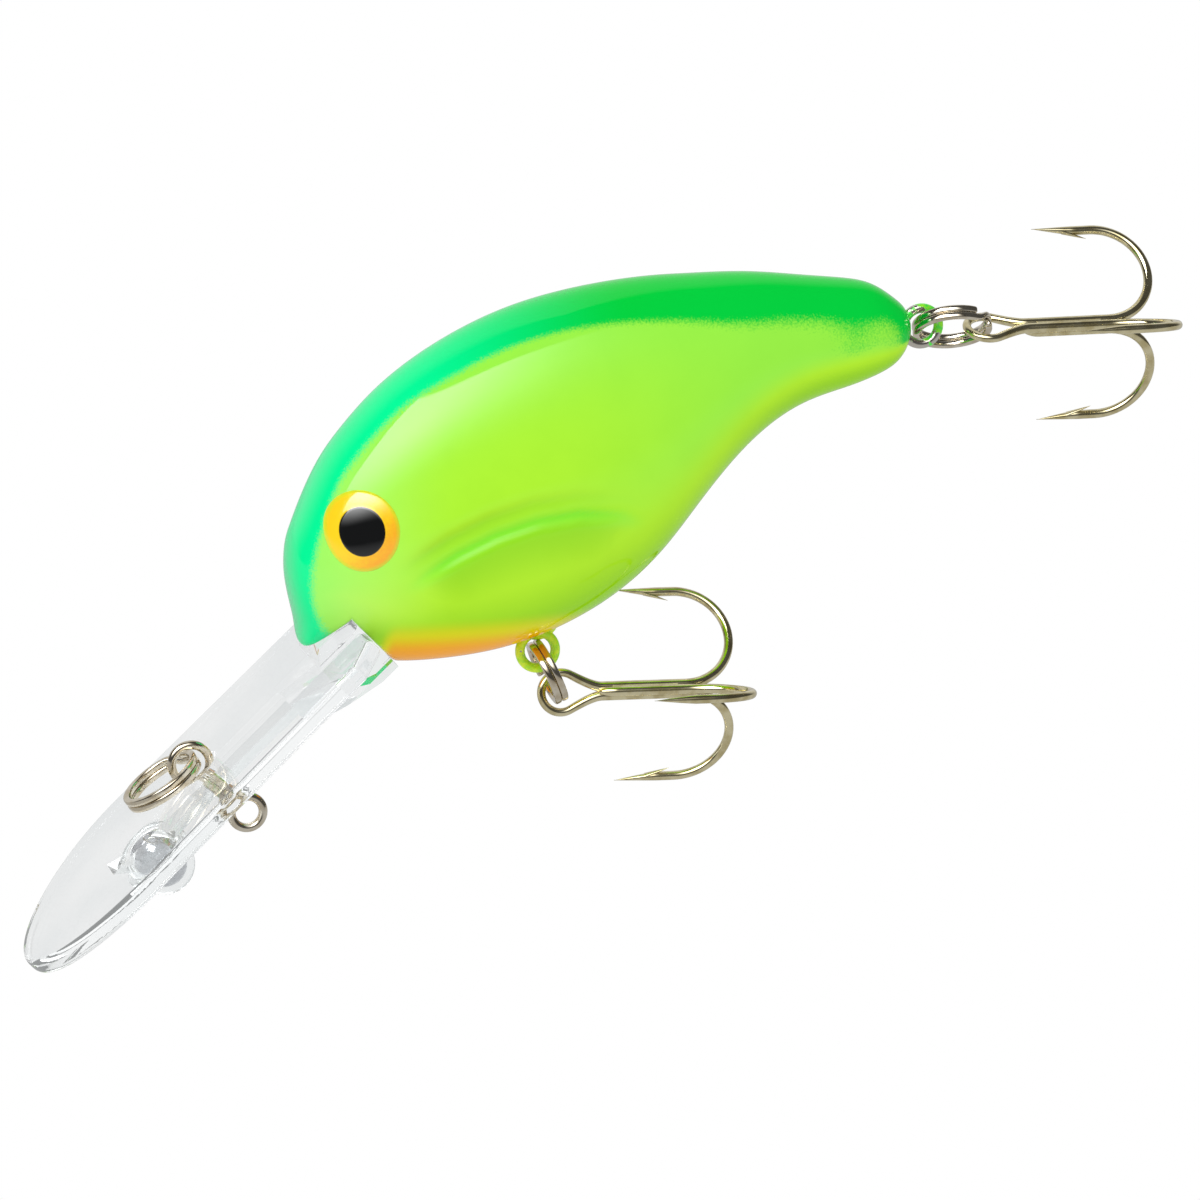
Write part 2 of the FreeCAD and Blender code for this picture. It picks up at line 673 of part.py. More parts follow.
def hook_tip(end, direction):
    """The tapered point and the barb cut up from its inner side."""
    wire, point = size("hook_wire"), size("hook_point")
    cone = Part.makeCone(wire, TIP_RADIUS, point, end, V(-1, 0, 0))
    lean = math.radians(BARB_LEAN)
    root = end - direction * (wire * 0.45) - V(BARB_BACK, 0, 0)
    barb_way = V(math.cos(lean), 0, 0) - direction * math.sin(lean)
    barb = Part.makeCone(wire * 0.55, TIP_RADIUS, BARB_LONG, root, barb_way)
    return cone.fuse(barb)


def spread(degrees):
    """Direction of a hook round the shank: 0 is the single hook's side."""
    angle = math.radians(degrees)
    return V(0, -math.cos(angle), math.sin(angle))


def double_half(side):
    """Half of the eye, one shank, bend and point of the double hook."""
    loop = size("hook_eye")
    leave = math.radians(EYE_LEAVE)
    along, lift = V(loop * math.cos(leave), 0, 0), V(0, 0, side * loop * math.sin(leave))
    front, exit_point = V(-loop, 0, 0), along + lift
    arc = Part.Arc(front, lift - along, exit_point)
    slope = V(math.sin(leave), 0, -side * math.cos(leave))
    start = V(size("hook_neck"), 0, side * (size("hook_wire") + SHANK_GAP))
    ease = Part.BSplineCurve()
    ease.interpolate(Points=[exit_point, start], InitialTangent=slope * 3.0, FinalTangent=V(3.0, 0, 0))
    direction = spread(side * HOOK_SPREAD)
    run, end = hook_run(start, direction)
    body = swept_wire([arc.toShape(), ease.toShape()] + run, front, V(0, 0, side))
    return body.fuse(hook_tip(end, direction))


def double_hook():
    return double_half(1).fuse(double_half(-1)).removeSplitter()


def single_hook():
    """The third hook, laid in the groove between the double hook's shanks."""
    start = V(size("hook_neck") + 0.4, -groove_depth(), 0)
    direction = spread(0.0)
    run, end = hook_run(start, direction)
    return swept_wire(run, start, V(1, 0, 0)).fuse(hook_tip(end, direction)).removeSplitter()


def groove_depth():
    """How far the third shank lies from the plane of the other two."""
    return 2 * (size("hook_wire") + SHANK_GAP) * math.sin(math.radians(HOOK_SPREAD / 2))


def braze():
    """The solder between the three shanks."""
    start, end = size("hook_neck") + 1.0, size("hook_shank") - 1.0
    depth, offset = groove_depth(), size("hook_wire") + SHANK_GAP
    way = V(1, 0, 0)
    core = Part.makeCylinder(size("hook_wire") * 1.5, end - start, V(start, -depth / 3, 0), way)
    for y, z in ((0, offset), (0, -offset), (-depth, 0)):
        shank = Part.makeCylinder(size("hook_wire") + BRAZE_FIT, end - start + 2, V(start - 1, y, z), way)
        core = core.cut(shank)
    return core


def treble_places():
    """Eye centre, pitch and turn about the shank of each treble."""
    belly_eye, _ = hanger_places()["belly"]
    tail_eye, _ = hanger_places()["tail"]
    belly_far = heading(BELLY_RING_PITCH, size("belly_ring") - BELLY_RING_SLACK)
    tail_far = heading(TAIL_RING_PITCH, size("tail_ring") - TAIL_RING_SLACK)
    return {
        "belly": (belly_eye + belly_far + BELLY_HOOK_SHIFT, *BELLY_HOOK_POSE),
        "tail": (tail_eye + tail_far, *TAIL_HOOK_POSE),
    }


def make_trebles():
    pieces = {"double_hook": double_hook(), "single_hook": single_hook(), "braze": braze()}
    for name, (place, pitch, turn) in treble_places().items():
        rotation = turn_y(pitch).Rotation.multiply(FreeCAD.Rotation(V(1, 0, 0), turn))
        placement = FreeCAD.Placement(place, rotation)
        for piece, shape in pieces.items():
            shape_part("%s_treble_%s" % (name, piece), shape, placement)


# --- build --------------------------------------------------------------------------------------

make_bill()
make_hangers()
make_rings()
make_trebles()
make_eyes()
make_weights()
make_shells()
doc.recompute()

for item in doc.Objects:
    if "Invalid" in item.State or "Error" in item.State:
        raise RuntimeError("%s did not recompute: %s" % (item.Label, item.State))
for feature in SUB_PARTS:
    if feature.Shape.isNull() or not feature.Shape.isValid() or not feature.Shape.Solids:
        raise RuntimeError("%s has no valid shape" % feature.Label)

os.makedirs("parts", exist_ok=True)
for feature in SUB_PARTS:
    feature.Shape.exportStep("parts/%s.step" % feature.Label)
    print("%-28s %9.2f mm3" % (feature.Label, feature.Shape.Volume))
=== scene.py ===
import json
import math

import bmesh
import bpy
from mathutils import Matrix, Vector


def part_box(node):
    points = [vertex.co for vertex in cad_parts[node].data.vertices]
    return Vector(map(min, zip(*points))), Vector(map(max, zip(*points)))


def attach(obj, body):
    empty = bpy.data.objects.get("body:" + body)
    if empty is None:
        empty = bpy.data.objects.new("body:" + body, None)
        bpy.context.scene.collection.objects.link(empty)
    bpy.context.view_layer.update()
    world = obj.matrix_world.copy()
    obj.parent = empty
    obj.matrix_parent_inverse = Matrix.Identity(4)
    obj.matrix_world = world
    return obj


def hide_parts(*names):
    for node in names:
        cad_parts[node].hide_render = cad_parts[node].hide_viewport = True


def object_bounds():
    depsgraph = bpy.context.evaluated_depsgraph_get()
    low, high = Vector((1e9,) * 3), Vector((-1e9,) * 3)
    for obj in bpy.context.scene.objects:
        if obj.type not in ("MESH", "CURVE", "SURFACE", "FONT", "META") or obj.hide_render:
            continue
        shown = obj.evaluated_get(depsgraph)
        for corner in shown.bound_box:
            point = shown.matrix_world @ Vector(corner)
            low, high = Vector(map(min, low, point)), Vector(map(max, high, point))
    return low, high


# The looks of a deep-diving crankbait: airbrushed body halves with moulded cheeks, painted eyes,
# a clear bill, nickel hooks and rings. Lengths are in millimetres until a mesh is made.

MM = 0.001

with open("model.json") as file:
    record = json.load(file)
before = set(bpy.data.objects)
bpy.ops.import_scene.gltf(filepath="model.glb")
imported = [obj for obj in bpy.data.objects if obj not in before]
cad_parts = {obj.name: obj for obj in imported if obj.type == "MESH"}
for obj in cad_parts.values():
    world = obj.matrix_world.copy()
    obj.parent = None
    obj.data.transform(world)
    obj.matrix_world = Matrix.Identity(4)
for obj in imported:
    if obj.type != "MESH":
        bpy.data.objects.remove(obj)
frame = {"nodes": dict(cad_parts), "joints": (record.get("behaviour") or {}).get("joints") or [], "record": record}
cad_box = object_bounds()
nodes = frame["nodes"]
joint_place = {joint["name"]: Vector(joint["pos_m"]) / MM
               for joint in frame["joints"] if joint["type"] == "hinge"}


# --- helpers ----------------------------------------------

def ramp(value, low, high):
    """Smoothly from 0 at low to 1 at high."""
    t = min(1.0, max(0.0, (value - low) / (high - low)))
    return t * t * (3 - 2 * t)


def rgba(red, green, blue):
    """A display colour out of 255, as linear light."""
    def linear(value):
        share = value / 255
        return share / 12.92 if share <= 0.04045 else ((share + 0.055) / 1.055) ** 2.4
    return (linear(red), linear(green), linear(blue), 1.0)


class Tree:
    """Short calls that add and join the nodes of a tree."""

    def __init__(self, tree):
        self.tree = tree

    def put(self, socket, value):
        if isinstance(value, bpy.types.NodeSocket):
            self.tree.links.new(value, socket)
        else:
            socket.default_value = value

    def add(self, kind, **sockets):
        node = self.tree.nodes.new(kind)
        for name, value in sockets.items():
            self.put(node.inputs[name.replace("_", " ")], value)
        return node

    def math(self, kind, a, b=0.0):
        node = self.add("ShaderNodeMath")
        node.operation = kind
        self.put(node.inputs[0], a)
        self.put(node.inputs[1], b)
        return node.outputs[0]

    def fade(self, value, low, high, to_low=0.0, to_high=1.0):
        """Smoothly from to_low at low to to_high at high."""
        node = self.add("ShaderNodeMapRange")
        node.interpolation_type = "SMOOTHSTEP"
        for socket, number in zip(node.inputs, (value, low, high, to_low, to_high)):
            self.put(socket, number)
        return node.outputs[0]

    def along_axes(self, space):
        """X, Y and Z of the point or the way being shaded."""
        place = self.add("ShaderNodeTexCoord").outputs[space]
        return self.add("ShaderNodeSeparateXYZ", Vector=place).outputs

    def by_ray(self, shader, glossy, diffuse, clear):
        """One shader for the camera, and others for rays off gloss, off matt and through clear."""
        path = self.add("ShaderNodeLightPath")
        others = {"Is Glossy Ray": glossy, "Is Diffuse Ray": diffuse, "Is Transmission Ray": clear}
        for ray, other in others.items():
            mix = self.add("ShaderNodeMixShader")
            for socket, value in zip(mix.inputs, (path.outputs[ray], shader, other)):
                self.put(socket, value)
            shader = mix.outputs[0]
        return shader


class Nodes(Tree):
    """A new material, its shader and short calls for its textures."""

    def __init__(self, name):
        self.material = bpy.data.materials.new(name)
        self.material.use_nodes = True
        super().__init__(self.material.node_tree)
        self.shader = self.tree.nodes["Principled BSDF"]

    def set(self, **sockets):
        for name, value in sockets.items():
            self.put(self.shader.inputs[name.replace("_", " ")], value)

    def attribute(self, name):
        node = self.add("ShaderNodeAttribute")
        node.attribute_name = name
        return node.outputs["Fac"]

    def noise(self, scale, detail=2.0, roughness=0.5):
        place = self.add("ShaderNodeTexCoord").outputs["Object"]
        node = self.add("ShaderNodeTexNoise", Scale=scale, Detail=detail, Roughness=roughness,
                        Vector=place)
        return node.outputs["Fac"]

    def mix(self, share, a, b):
        node = self.add("ShaderNodeMix")
        node.data_type = "RGBA"
        self.put(node.inputs[0], share)
        self.put(node.inputs[6], a)
        self.put(node.inputs[7], b)
        return node.outputs[2]

    def bump(self, height, strength, distance):
        node = self.add("ShaderNodeBump", Height=height, Strength=strength, Distance=distance)
        self.put(self.shader.inputs["Normal"], node.outputs[0])


# --- camera, light and floor ------------------------------

FOCAL = 200.0
SENSOR = 36.0
CLIP_NEAR, CLIP_FAR = 0.01, 20.0
VIEW_AZIMUTH = 14.0
VIEW_ELEVATION = 13.0
VIEW_WIDTH = 122.45 * MM
VIEW_TARGET = Vector((45.55, 0, 16.21)) * MM


def toward_camera():
    turn, lift = math.radians(VIEW_AZIMUTH), math.radians(VIEW_ELEVATION)
    return Vector((-math.sin(turn) * math.cos(lift), -math.cos(turn) * math.cos(lift), math.sin(lift)))


def make_camera():
    data = bpy.data.cameras.new("camera")
    data.lens = FOCAL
    data.sensor_width = SENSOR
    data.clip_start, data.clip_end = CLIP_NEAR, CLIP_FAR
    camera = bpy.data.objects.new("camera", data)
    bpy.context.scene.collection.objects.link(camera)
    away = toward_camera()
    camera.location = VIEW_TARGET + away * (FOCAL * VIEW_WIDTH / SENSOR)
    camera.rotation_mode = "QUATERNION"
    camera.rotation_quaternion = (-away).to_track_quat("-Z", "Y")
    bpy.context.scene.camera = camera


LAMP_TARGET = Vector((45.0, 0, 25.0)) * MM
LAMPS = [
    # name, place, width, height, power
    ("key_softbox", Vector((-0.30, -0.45, 0.55)), 0.45, 0.40, 2.6),
    ("back_softbox", Vector((0.25, 0.60, 0.55)), 0.7, 0.5, 1.6),
]


def make_lamps():
    """The soft box and the back light as they light matt surfaces; the world shows the gloss."""
    for name, place, wide, tall, power in LAMPS:
        data = bpy.data.lights.new(name, "AREA")
        data.shape = "RECTANGLE"
        data.size, data.size_y = wide, tall
        data.energy = power
        lamp = bpy.data.objects.new(name, data)
        bpy.context.scene.collection.objects.link(lamp)
        lamp.location = place
        lamp.rotation_mode = "QUATERNION"
        lamp.rotation_quaternion = (LAMP_TARGET - place).to_track_quat("-Z", "Y")
        lamp.visible_glossy = False


# The soft box's two sides, and its top and bottom, each as the angle where it is dark and the
# angle where it is full: degrees round from the front, and degrees up.
SOFTBOX_SIDE = [(-74.0, -71.0), (25.0, -45.0)]
SOFTBOX_RISE = [(57.5, 55.0), (10.0, 44.0)]
SOFTBOX_LIGHT = 9.0
BACKDROP_SIDE = (105.0, 150.0)      # degrees round from the front, to either side
BACKDROP_LIGHT = 0.65
ROOM_LIGHT = 0.07
INSIDE_LIGHT = 0.4      # what reflections inside the clear plastic see
DIFFUSE_LIGHT = 0.64
WHITE = (1, 1, 1, 1)


def room_light(tree):
    """What reflections see: a dim room with a soft box at the front left, bright on its upper
    edge, and a white backdrop behind."""
    x, y, z = tree.along_axes("Generated")
    round_front = tree.math("ARCTAN2", x, tree.math("MULTIPLY", y, -1.0))
    rise = tree.math("ARCSINE", z)
    box = SOFTBOX_LIGHT
    for angle, edges in ((round_front, SOFTBOX_SIDE), (rise, SOFTBOX_RISE)):
        for dark, full in edges:
            box = tree.math("MULTIPLY", tree.fade(angle, math.radians(dark), math.radians(full)), box)
    start, end = (math.radians(side) for side in BACKDROP_SIDE)
    behind = tree.fade(tree.math("ABSOLUTE", round_front), start, end)
    backdrop = tree.math("MULTIPLY", behind, BACKDROP_LIGHT)
    depth = tree.add("ShaderNodeLightPath").outputs["Transmission Depth"]
    inside = tree.math("MULTIPLY", tree.math("MINIMUM", depth, 1.0), INSIDE_LIGHT)
    dim = tree.math("MAXIMUM", tree.math("MAXIMUM", backdrop, ROOM_LIGHT), inside)
    return tree.math("ADD", box, dim)


def make_world():
    """White for the eye and through clear plastic, even for matt surfaces, a room for gloss."""
    world = bpy.data.worlds.new("studio")
    bpy.context.scene.world = world
    world.use_nodes = True
    tree = Tree(world.node_tree)
    tree.tree.nodes.clear()

    def background(strength):
        return tree.add("ShaderNodeBackground", Color=WHITE, Strength=strength).outputs[0]

    shader = tree.by_ray(background(1.0), background(room_light(tree)), background(DIFFUSE_LIGHT),
                         background(1.0))
    tree.add("ShaderNodeOutputWorld", Surface=shader)


FLOOR_DROP = 55.0 * MM
FLOOR_HALF = 6.0        # half its width, in metres
FLOOR_FACE = 1.0        # the floor as the camera and the clear plastic see it
FLOOR_GLOSS = 0.5       # as polished surfaces see it, close by
FLOOR_NEAR, FLOOR_FAR = 0.08, 0.8       # metres over which that reflection fades into the room
FLOOR_BOUNCE = 0.95     # as matt surfaces see it


def floor_material():
    """A pale glowing table, dimmer in reflections and dimmer still towards the front."""
    material = bpy.data.materials.new("studio_floor")
    material.use_nodes = True
    tree = Tree(material.node_tree)
    tree.tree.nodes.clear()

    def glow(strength):
        return tree.add("ShaderNodeEmission", Strength=strength).outputs[0]

    gloss = tree.fade(tree.along_axes("Object")["Y"], -FLOOR_FAR, -FLOOR_NEAR, ROOM_LIGHT, FLOOR_GLOSS)
    shader = tree.by_ray(glow(FLOOR_FACE), glow(gloss), glow(FLOOR_BOUNCE), glow(FLOOR_FACE))
    tree.add("ShaderNodeOutputMaterial", Surface=shader)
    return material


def make_floor():
    z = cad_box[0].z - FLOOR_DROP
    corners = [(-FLOOR_HALF, -FLOOR_HALF, z), (FLOOR_HALF, -FLOOR_HALF, z),
               (FLOOR_HALF, FLOOR_HALF, z), (-FLOOR_HALF, FLOOR_HALF, z)]
    mesh = bpy.data.meshes.new("floor")
    mesh.from_pydata(corners, [], [(0, 1, 2, 3)])
    floor = bpy.data.objects.new("floor", mesh)
    bpy.context.scene.collection.objects.link(floor)
    mesh.materials.append(floor_material())


bpy.context.scene.view_settings.view_transform = "Standard"
make_camera()
make_world()
make_floor()
make_lamps()


# --- body shape -------------------------------------------

# The body's sections as in the part: share of the length, lowest and highest line as shares of the
# height, and half width as a share of the widest half width.
SECTIONS = [
    (0.000, 0.262, 0.276, 0.05),
    (0.002, 0.220, 0.312, 0.22),
    (0.007, 0.172, 0.355, 0.38),
    (0.017, 0.107, 0.400, 0.51),
    (0.034, 0.058, 0.468, 0.63),
    (0.062, 0.044, 0.558, 0.74),
    (0.100, 0.028, 0.642, 0.83),
    (0.154, 0.004, 0.736, 0.91),
    (0.231, 0.000, 0.830, 0.975),
    (0.324, 0.016, 0.909, 1.00),
    (0.416, 0.060, 0.958, 0.985),
    (0.508, 0.138, 0.986, 0.925),
    (0.586, 0.246, 0.998, 0.845),
    (0.647, 0.370, 1.000, 0.765),
    (0.709, 0.494, 1.000, 0.680),
    (0.770, 0.586, 0.994, 0.600),
    (0.832, 0.644, 0.982, 0.530),
    (0.894, 0.676, 0.970, 0.475),
    (0.940, 0.702, 0.952, 0.430),
    (0.974, 0.732, 0.916, 0.355),
    (0.992, 0.768, 0.888, 0.255),
    (1.000, 0.794, 0.862, 0.140),
]
WIDEST = 0.45           # height of the widest place, as a share of the section's height
FULLNESS = 2.15         # how square a section is, 2 is an ellipse
STEPS_ALONG = 12        # rows between two sections
STEPS_ROUND = 150       # columns from the belly line to the back line
TAIL_CAP = [(0.05, 0.95), (0.10, 0.84), (0.14, 0.66), (0.17, 0.42), (0.18, 0.14)]   # reach, size
BODY_LOW, BODY_HIGH = (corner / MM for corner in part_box("left_body_shell"))
HALF_WIDE = -BODY_LOW.y
BODY_BASE = 11.3        # height of the belly's lowest line in the frame
BODY_TALL = 38.3


def curve_through(values):
    """A smooth curve through evenly spaced values: a natural cubic spline."""
    count = len(values)
    above, right = [0.0] * count, [0.0] * count
    for i in range(1, count - 1):
        rise = 6 * (values[i + 1] - 2 * values[i] + values[i - 1])
        scale = 4 - above[i - 1]
        above[i] = 1 / scale
        right[i] = (rise - right[i - 1]) / scale
    bends = [0.0] * count
    for i in range(count - 2, 0, -1):
        bends[i] = right[i] - above[i] * bends[i + 1]

    def at(place):
        i = min(int(place), count - 2)
        t = place - i
        s = 1 - t
        ends = s * values[i] + t * values[i + 1]
        return ends + ((s ** 3 - s) * bends[i] + (t ** 3 - t) * bends[i + 1]) / 6
    return at


BEAK_ROUND = 0.28       # rounding of the paint along the bill's cut-out
NOTCH_ROOF = 1.8        # the cut-out's roof above the bill's top face
BILL_ROOT = 21.85       # line tie to the cut-out's back wall, along the bill
BILL_PITCH = 43.25      # degrees the bill slopes up towards the body
TIE_RISE = 1.02         # line tie eye above the bill's top face
WALL = 1.5              # thickness of the skin
HOLLOW = (7.0, 17.5)    # the body is hollow between these sections


def bill_axes():
    """Where the line tie crosses the bill's top face, and the ways up the bill and out of it."""
    pitch = math.radians(BILL_PITCH)
    up_bill = Vector((math.cos(pitch), 0, math.sin(pitch)))
    out = Vector((-math.sin(pitch), 0, math.cos(pitch)))
    return joint_place["line_tie_ring_swing"] - out * TIE_RISE, up_bill, out


BILL_ZERO, UP_BILL, OUT_BILL = bill_axes()


def in_bill_frame(point):
    """How far a point is up along the bill, and how far out of its top face."""
    offset = point - BILL_ZERO
    return offset.dot(UP_BILL), offset.dot(OUT_BILL)


section_x = curve_through([BODY_LOW.x + row[0] * (BODY_HIGH.x - BODY_LOW.x) for row in SECTIONS])
section_low = curve_through([BODY_BASE + row[1] * BODY_TALL for row in SECTIONS])
section_high = curve_through([BODY_BASE + row[2] * BODY_TALL for row in SECTIONS])
section_half = curve_through([row[3] * HALF_WIDE for row in SECTIONS])


def section_point(x, low, high, half, angle):
    """A point of the left side's outline, from the belly line (-90) to the back line (90)."""
    middle = low + WIDEST * (high - low)
    c, s = math.cos(angle), math.sin(angle)
    reach = (high - middle) if s > 0 else (middle - low)
    y = -half * abs(c) ** (2 / FULLNESS)
    z = middle + reach * math.copysign(abs(s) ** (2 / FULLNESS), s)
    return Vector((x, y, z))


def section_row(place, inset=0.0):
    x, low, high = section_x(place), section_low(place) + inset, section_high(place) - inset
    half = section_half(place) - inset
    angles = [math.pi * (step / STEPS_ROUND - 0.5) for step in range(STEPS_ROUND + 1)]
    return [section_point(x, low, high, half, angle) for angle in angles]


def cap_rows(row):
    """Rows that close the tail with a small dome."""
    middle = (row[0] + row[-1]) / 2
    rows = []
    for reach, share in TAIL_CAP:
        centre = middle + Vector((reach, 0, 0))
        rows.append([centre + (point - middle) * share for point in row])
    return rows


def add_grid(mesh, rows, flip=False):
    """Quads between rows of points. Returns the rows of vertices."""
    made = [[mesh.verts.new(point) for point in row] for row in rows]
    for first, second in zip(made, made[1:]):
        for i in range(len(first) - 1):
            corners = (first[i], second[i], second[i + 1], first[i + 1])
            mesh.faces.new(corners[::-1] if flip else corners)
    return made


def close_end(mesh, row, flip=False):
    centre = mesh.verts.new((row[0].co + row[-1].co) / 2)
    for a, b in zip(row, row[1:]):
        mesh.faces.new((a, b, centre) if flip else (b, a, centre))


# The crease line over the cheek, as x and z from front to rear.
CREASE = [(23.0, 20.2), (25.6, 22.0), (28.6, 23.9), (32.5, 25.7), (36.6, 26.9), (41.0, 27.4),
          (45.5, 27.0), (49.0, 25.6)]
CREASE_DEEP, CREASE_HALF = 0.27, 0.7            # depth and half width of the groove on that line
UPPER_DEEP, UPPER_RISE, UPPER_HALF = 0.32, 1.75, 0.85       # the groove above it
CHEEK_SWELL = 0.28                              # how far the panel under the line stands out
PANEL_START, PANEL_END = 1.1, 5.2               # how far below the line it is full, and fades
CREASE_FRONT, CREASE_REAR, UPPER_REAR = 0.25, 0.3, 0.6      # shares of the line that fade out
BEAK_LONG = 0.7         # how far the upper lip runs out along the bill
BEAK_TALL = 1.5         # how high above the bill it reaches


def crease_place(point):
    """How far a place is above the cheek's crease line, and how far along the line, 0 to 1."""
    best, along = 1e9, 0.0
    total = len(CREASE) - 1
    for i, (a, b) in enumerate(zip(CREASE, CREASE[1:])):
        ax, az, bx, bz = a[0], a[1], b[0], b[1]
        length = (bx - ax) ** 2 + (bz - az) ** 2
        t = min(1.0, max(0.0, ((point.x - ax) * (bx - ax) + (point.z - az) * (bz - az)) / length))
        dx, dz = point.x - ax - t * (bx - ax), point.z - az - t * (bz - az)
        distance = math.hypot(dx, dz)
        if distance < abs(best):
            best, along = math.copysign(distance, dz), (i + t) / total
    return best, along


def crease_shares(point):
    """Strength of the lower groove, the upper groove and the panel under them, at a place."""
    above, along = crease_place(point)
    fade = min(1.0, along / CREASE_FRONT) * min(1.0, (1 - along) / CREASE_REAR)
    fade = fade * fade * (3 - 2 * fade)
    lower = math.exp(-(above / CREASE_HALF) ** 2)
    upper = math.exp(-((above - UPPER_RISE) / UPPER_HALF) ** 2) * min(1.0, (1 - along) / UPPER_REAR)
    below = max(0.0, -above)
    panel = min(1.0, below / PANEL_START) * math.exp(-(below / PANEL_END) ** 2)
    return lower * fade, upper * fade, panel * fade


def cheek_press(point):
    """How far the moulded cheek creases and the panel under them move the skin out."""
    lower, upper, panel = crease_shares(point)
    return CHEEK_SWELL * panel - CREASE_DEEP * lower - UPPER_DEEP * upper


def beak_reach(vertex):
    """The pointed upper lip just above the bill."""
    along, out = in_bill_frame(vertex.co)
    facing = max(0.0, -vertex.normal.dot(UP_BILL))
    near = math.exp(-(max(0.0, out - NOTCH_ROOF) / BEAK_TALL) ** 2)
    return -UP_BILL * (BEAK_LONG * near * facing ** 2 if along < BILL_ROOT else 0.0)


def outer_rows():
    count = (len(SECTIONS) - 1) * STEPS_ALONG
    rows = [section_row(step / STEPS_ALONG) for step in range(count + 1)]
    return rows + cap_rows(rows[-1])


LIP_STEPS = 4
ON_PLANE = 1e-5         # how close counts as on a cutting plane
ON_NOTCH = 1e-3         # as on the edge of the cut-out
ON_SEAM = 1e-4          # and as on the middle plane
SEAM_MERGE = 0.01       # points of the seam this close become one
SKIN_MERGE = 2e-4       # and so do points elsewhere
FLAT = 1e-6             # how far off the middle plane a point of the seam may be left
SLIVER = 1e-5           # shorter edges are taken out


def cut_notch(mesh):
    """Cuts the bill's seat out of the skin and rounds its edge inwards to two flat walls."""
    roof, back = NOTCH_ROOF + BEAK_ROUND, BILL_ROOT + BEAK_ROUND
    for along, out, way in ((0, roof, OUT_BILL), (back, 0, UP_BILL)):
        place = BILL_ZERO + UP_BILL * along + OUT_BILL * out
        geometry = mesh.verts[:] + mesh.edges[:] + mesh.faces[:]
        bmesh.ops.bisect_plane(mesh, geom=geometry, dist=ON_PLANE, plane_co=place, plane_no=way)
    mesh.normal_update()
    normals = {vertex: vertex.normal.copy() for vertex in mesh.verts}
    gone = []
    for face in mesh.faces:
        along, out = in_bill_frame(face.calc_center_median())
        if along < back and out < roof:
            gone.append(face)
    bmesh.ops.delete(mesh, geom=gone, context="FACES")
    rim = [edge for edge in mesh.edges if edge.is_boundary and on_notch(edge, roof, back)]
    grow_lip(mesh, rim, normals, roof, back)


def on_notch(edge, roof, back):
    """Whether a boundary edge is on the rim of the cut-out."""
    middle = (edge.verts[0].co + edge.verts[1].co) / 2
    along, out = in_bill_frame(middle)
    on_roof = abs(out - roof) < ON_NOTCH and along < back + ON_NOTCH
    on_back = abs(along - back) < ON_NOTCH and out < roof + ON_NOTCH
    return on_roof or on_back


def lip_corner(point, normal, roof, back):
    """Where the skin and the cut-out's wall would meet if sharp, and the way in along the wall."""
    along, out = in_bill_frame(point)
    on_roof, on_back = abs(out - roof) < ON_NOTCH, abs(along - back) < ON_NOTCH
    if abs(point.y) < ON_SEAM:
        normal = Vector((normal.x, 0, normal.z)).normalized()
    if on_roof and on_back:
        corner = point - OUT_BILL * BEAK_ROUND - UP_BILL * BEAK_ROUND
        corner.y = point.y - normal.dot(corner - point) / normal.y
        inward = Vector((0, 1, 0))
    else:
        way = OUT_BILL if on_roof else UP_BILL
        slide = -(way - normal * way.dot(normal)).normalized()
        corner = point + slide * (BEAK_ROUND / abs(slide.dot(way)))
        inward = -(normal - way * normal.dot(way)).normalized()
    return corner, inward


def lip_points(point, normal, roof, back):
    """The rounded lip from the skin to the cut-out's wall, then straight across to the middle."""
    corner, inward = lip_corner(point, normal, roof, back)
    inside = corner + inward * BEAK_ROUND
    inside.y = min(inside.y, 0.0)
    points = []
    for step in range(1, LIP_STEPS + 1):
        t = step / LIP_STEPS
        points.append(point * (1 - t) ** 2 + corner * (2 * t * (1 - t)) + inside * t ** 2)
    points.append(Vector((inside.x, 0, inside.z)))
    for made in points:
        made.y = min(made.y, 0.0)
    return points


def grow_lip(mesh, rim, normals, roof, back):
    """Faces of the lip and the wall along the rim."""
    chains = {}
    for edge in rim:
        for vertex in edge.verts:
            if vertex not in chains:
                points = lip_points(vertex.co.copy(), normals[vertex], roof, back)
                chains[vertex] = [vertex] + [mesh.verts.new(point) for point in points]
    for edge in rim:
        loop = edge.link_loops[0]
        ahead, behind = chains[loop.vert], chains[loop.link_loop_next.vert]
        for i in range(len(ahead) - 1):
            mesh.faces.new((behind[i], ahead[i], ahead[i + 1], behind[i + 1]))


def seam_strip(mesh, pairs):
    """Seam faces between pairs of points, where the notch has left them."""
    for (a, b), (c, d) in zip(pairs, pairs[1:]):
        if a.is_valid and c.is_valid:
            mesh.faces.new((a, c, d, b))


def close_middle(mesh):
    """Fills what is left open of the flat seam face, and turns all of it to face outwards."""
    edges = [edge for edge in mesh.edges if edge.is_boundary]
    bmesh.ops.triangle_fill(mesh, edges=edges, use_beauty=True, use_dissolve=False, normal=(0, 1, 0))
    mesh.normal_update()
    for face in mesh.faces:
        if face.normal.y < 0 and all(abs(vertex.co.y) < FLAT for vertex in face.verts):
            face.normal_flip()


def press_cheeks(mesh):
    mesh.normal_update()
    pressed = [(vertex, cheek_press(vertex.co) * max(0.0, -vertex.normal.y)) for vertex in mesh.verts]
    for vertex, press in pressed:
        vertex.co += vertex.normal * press + beak_reach(vertex)


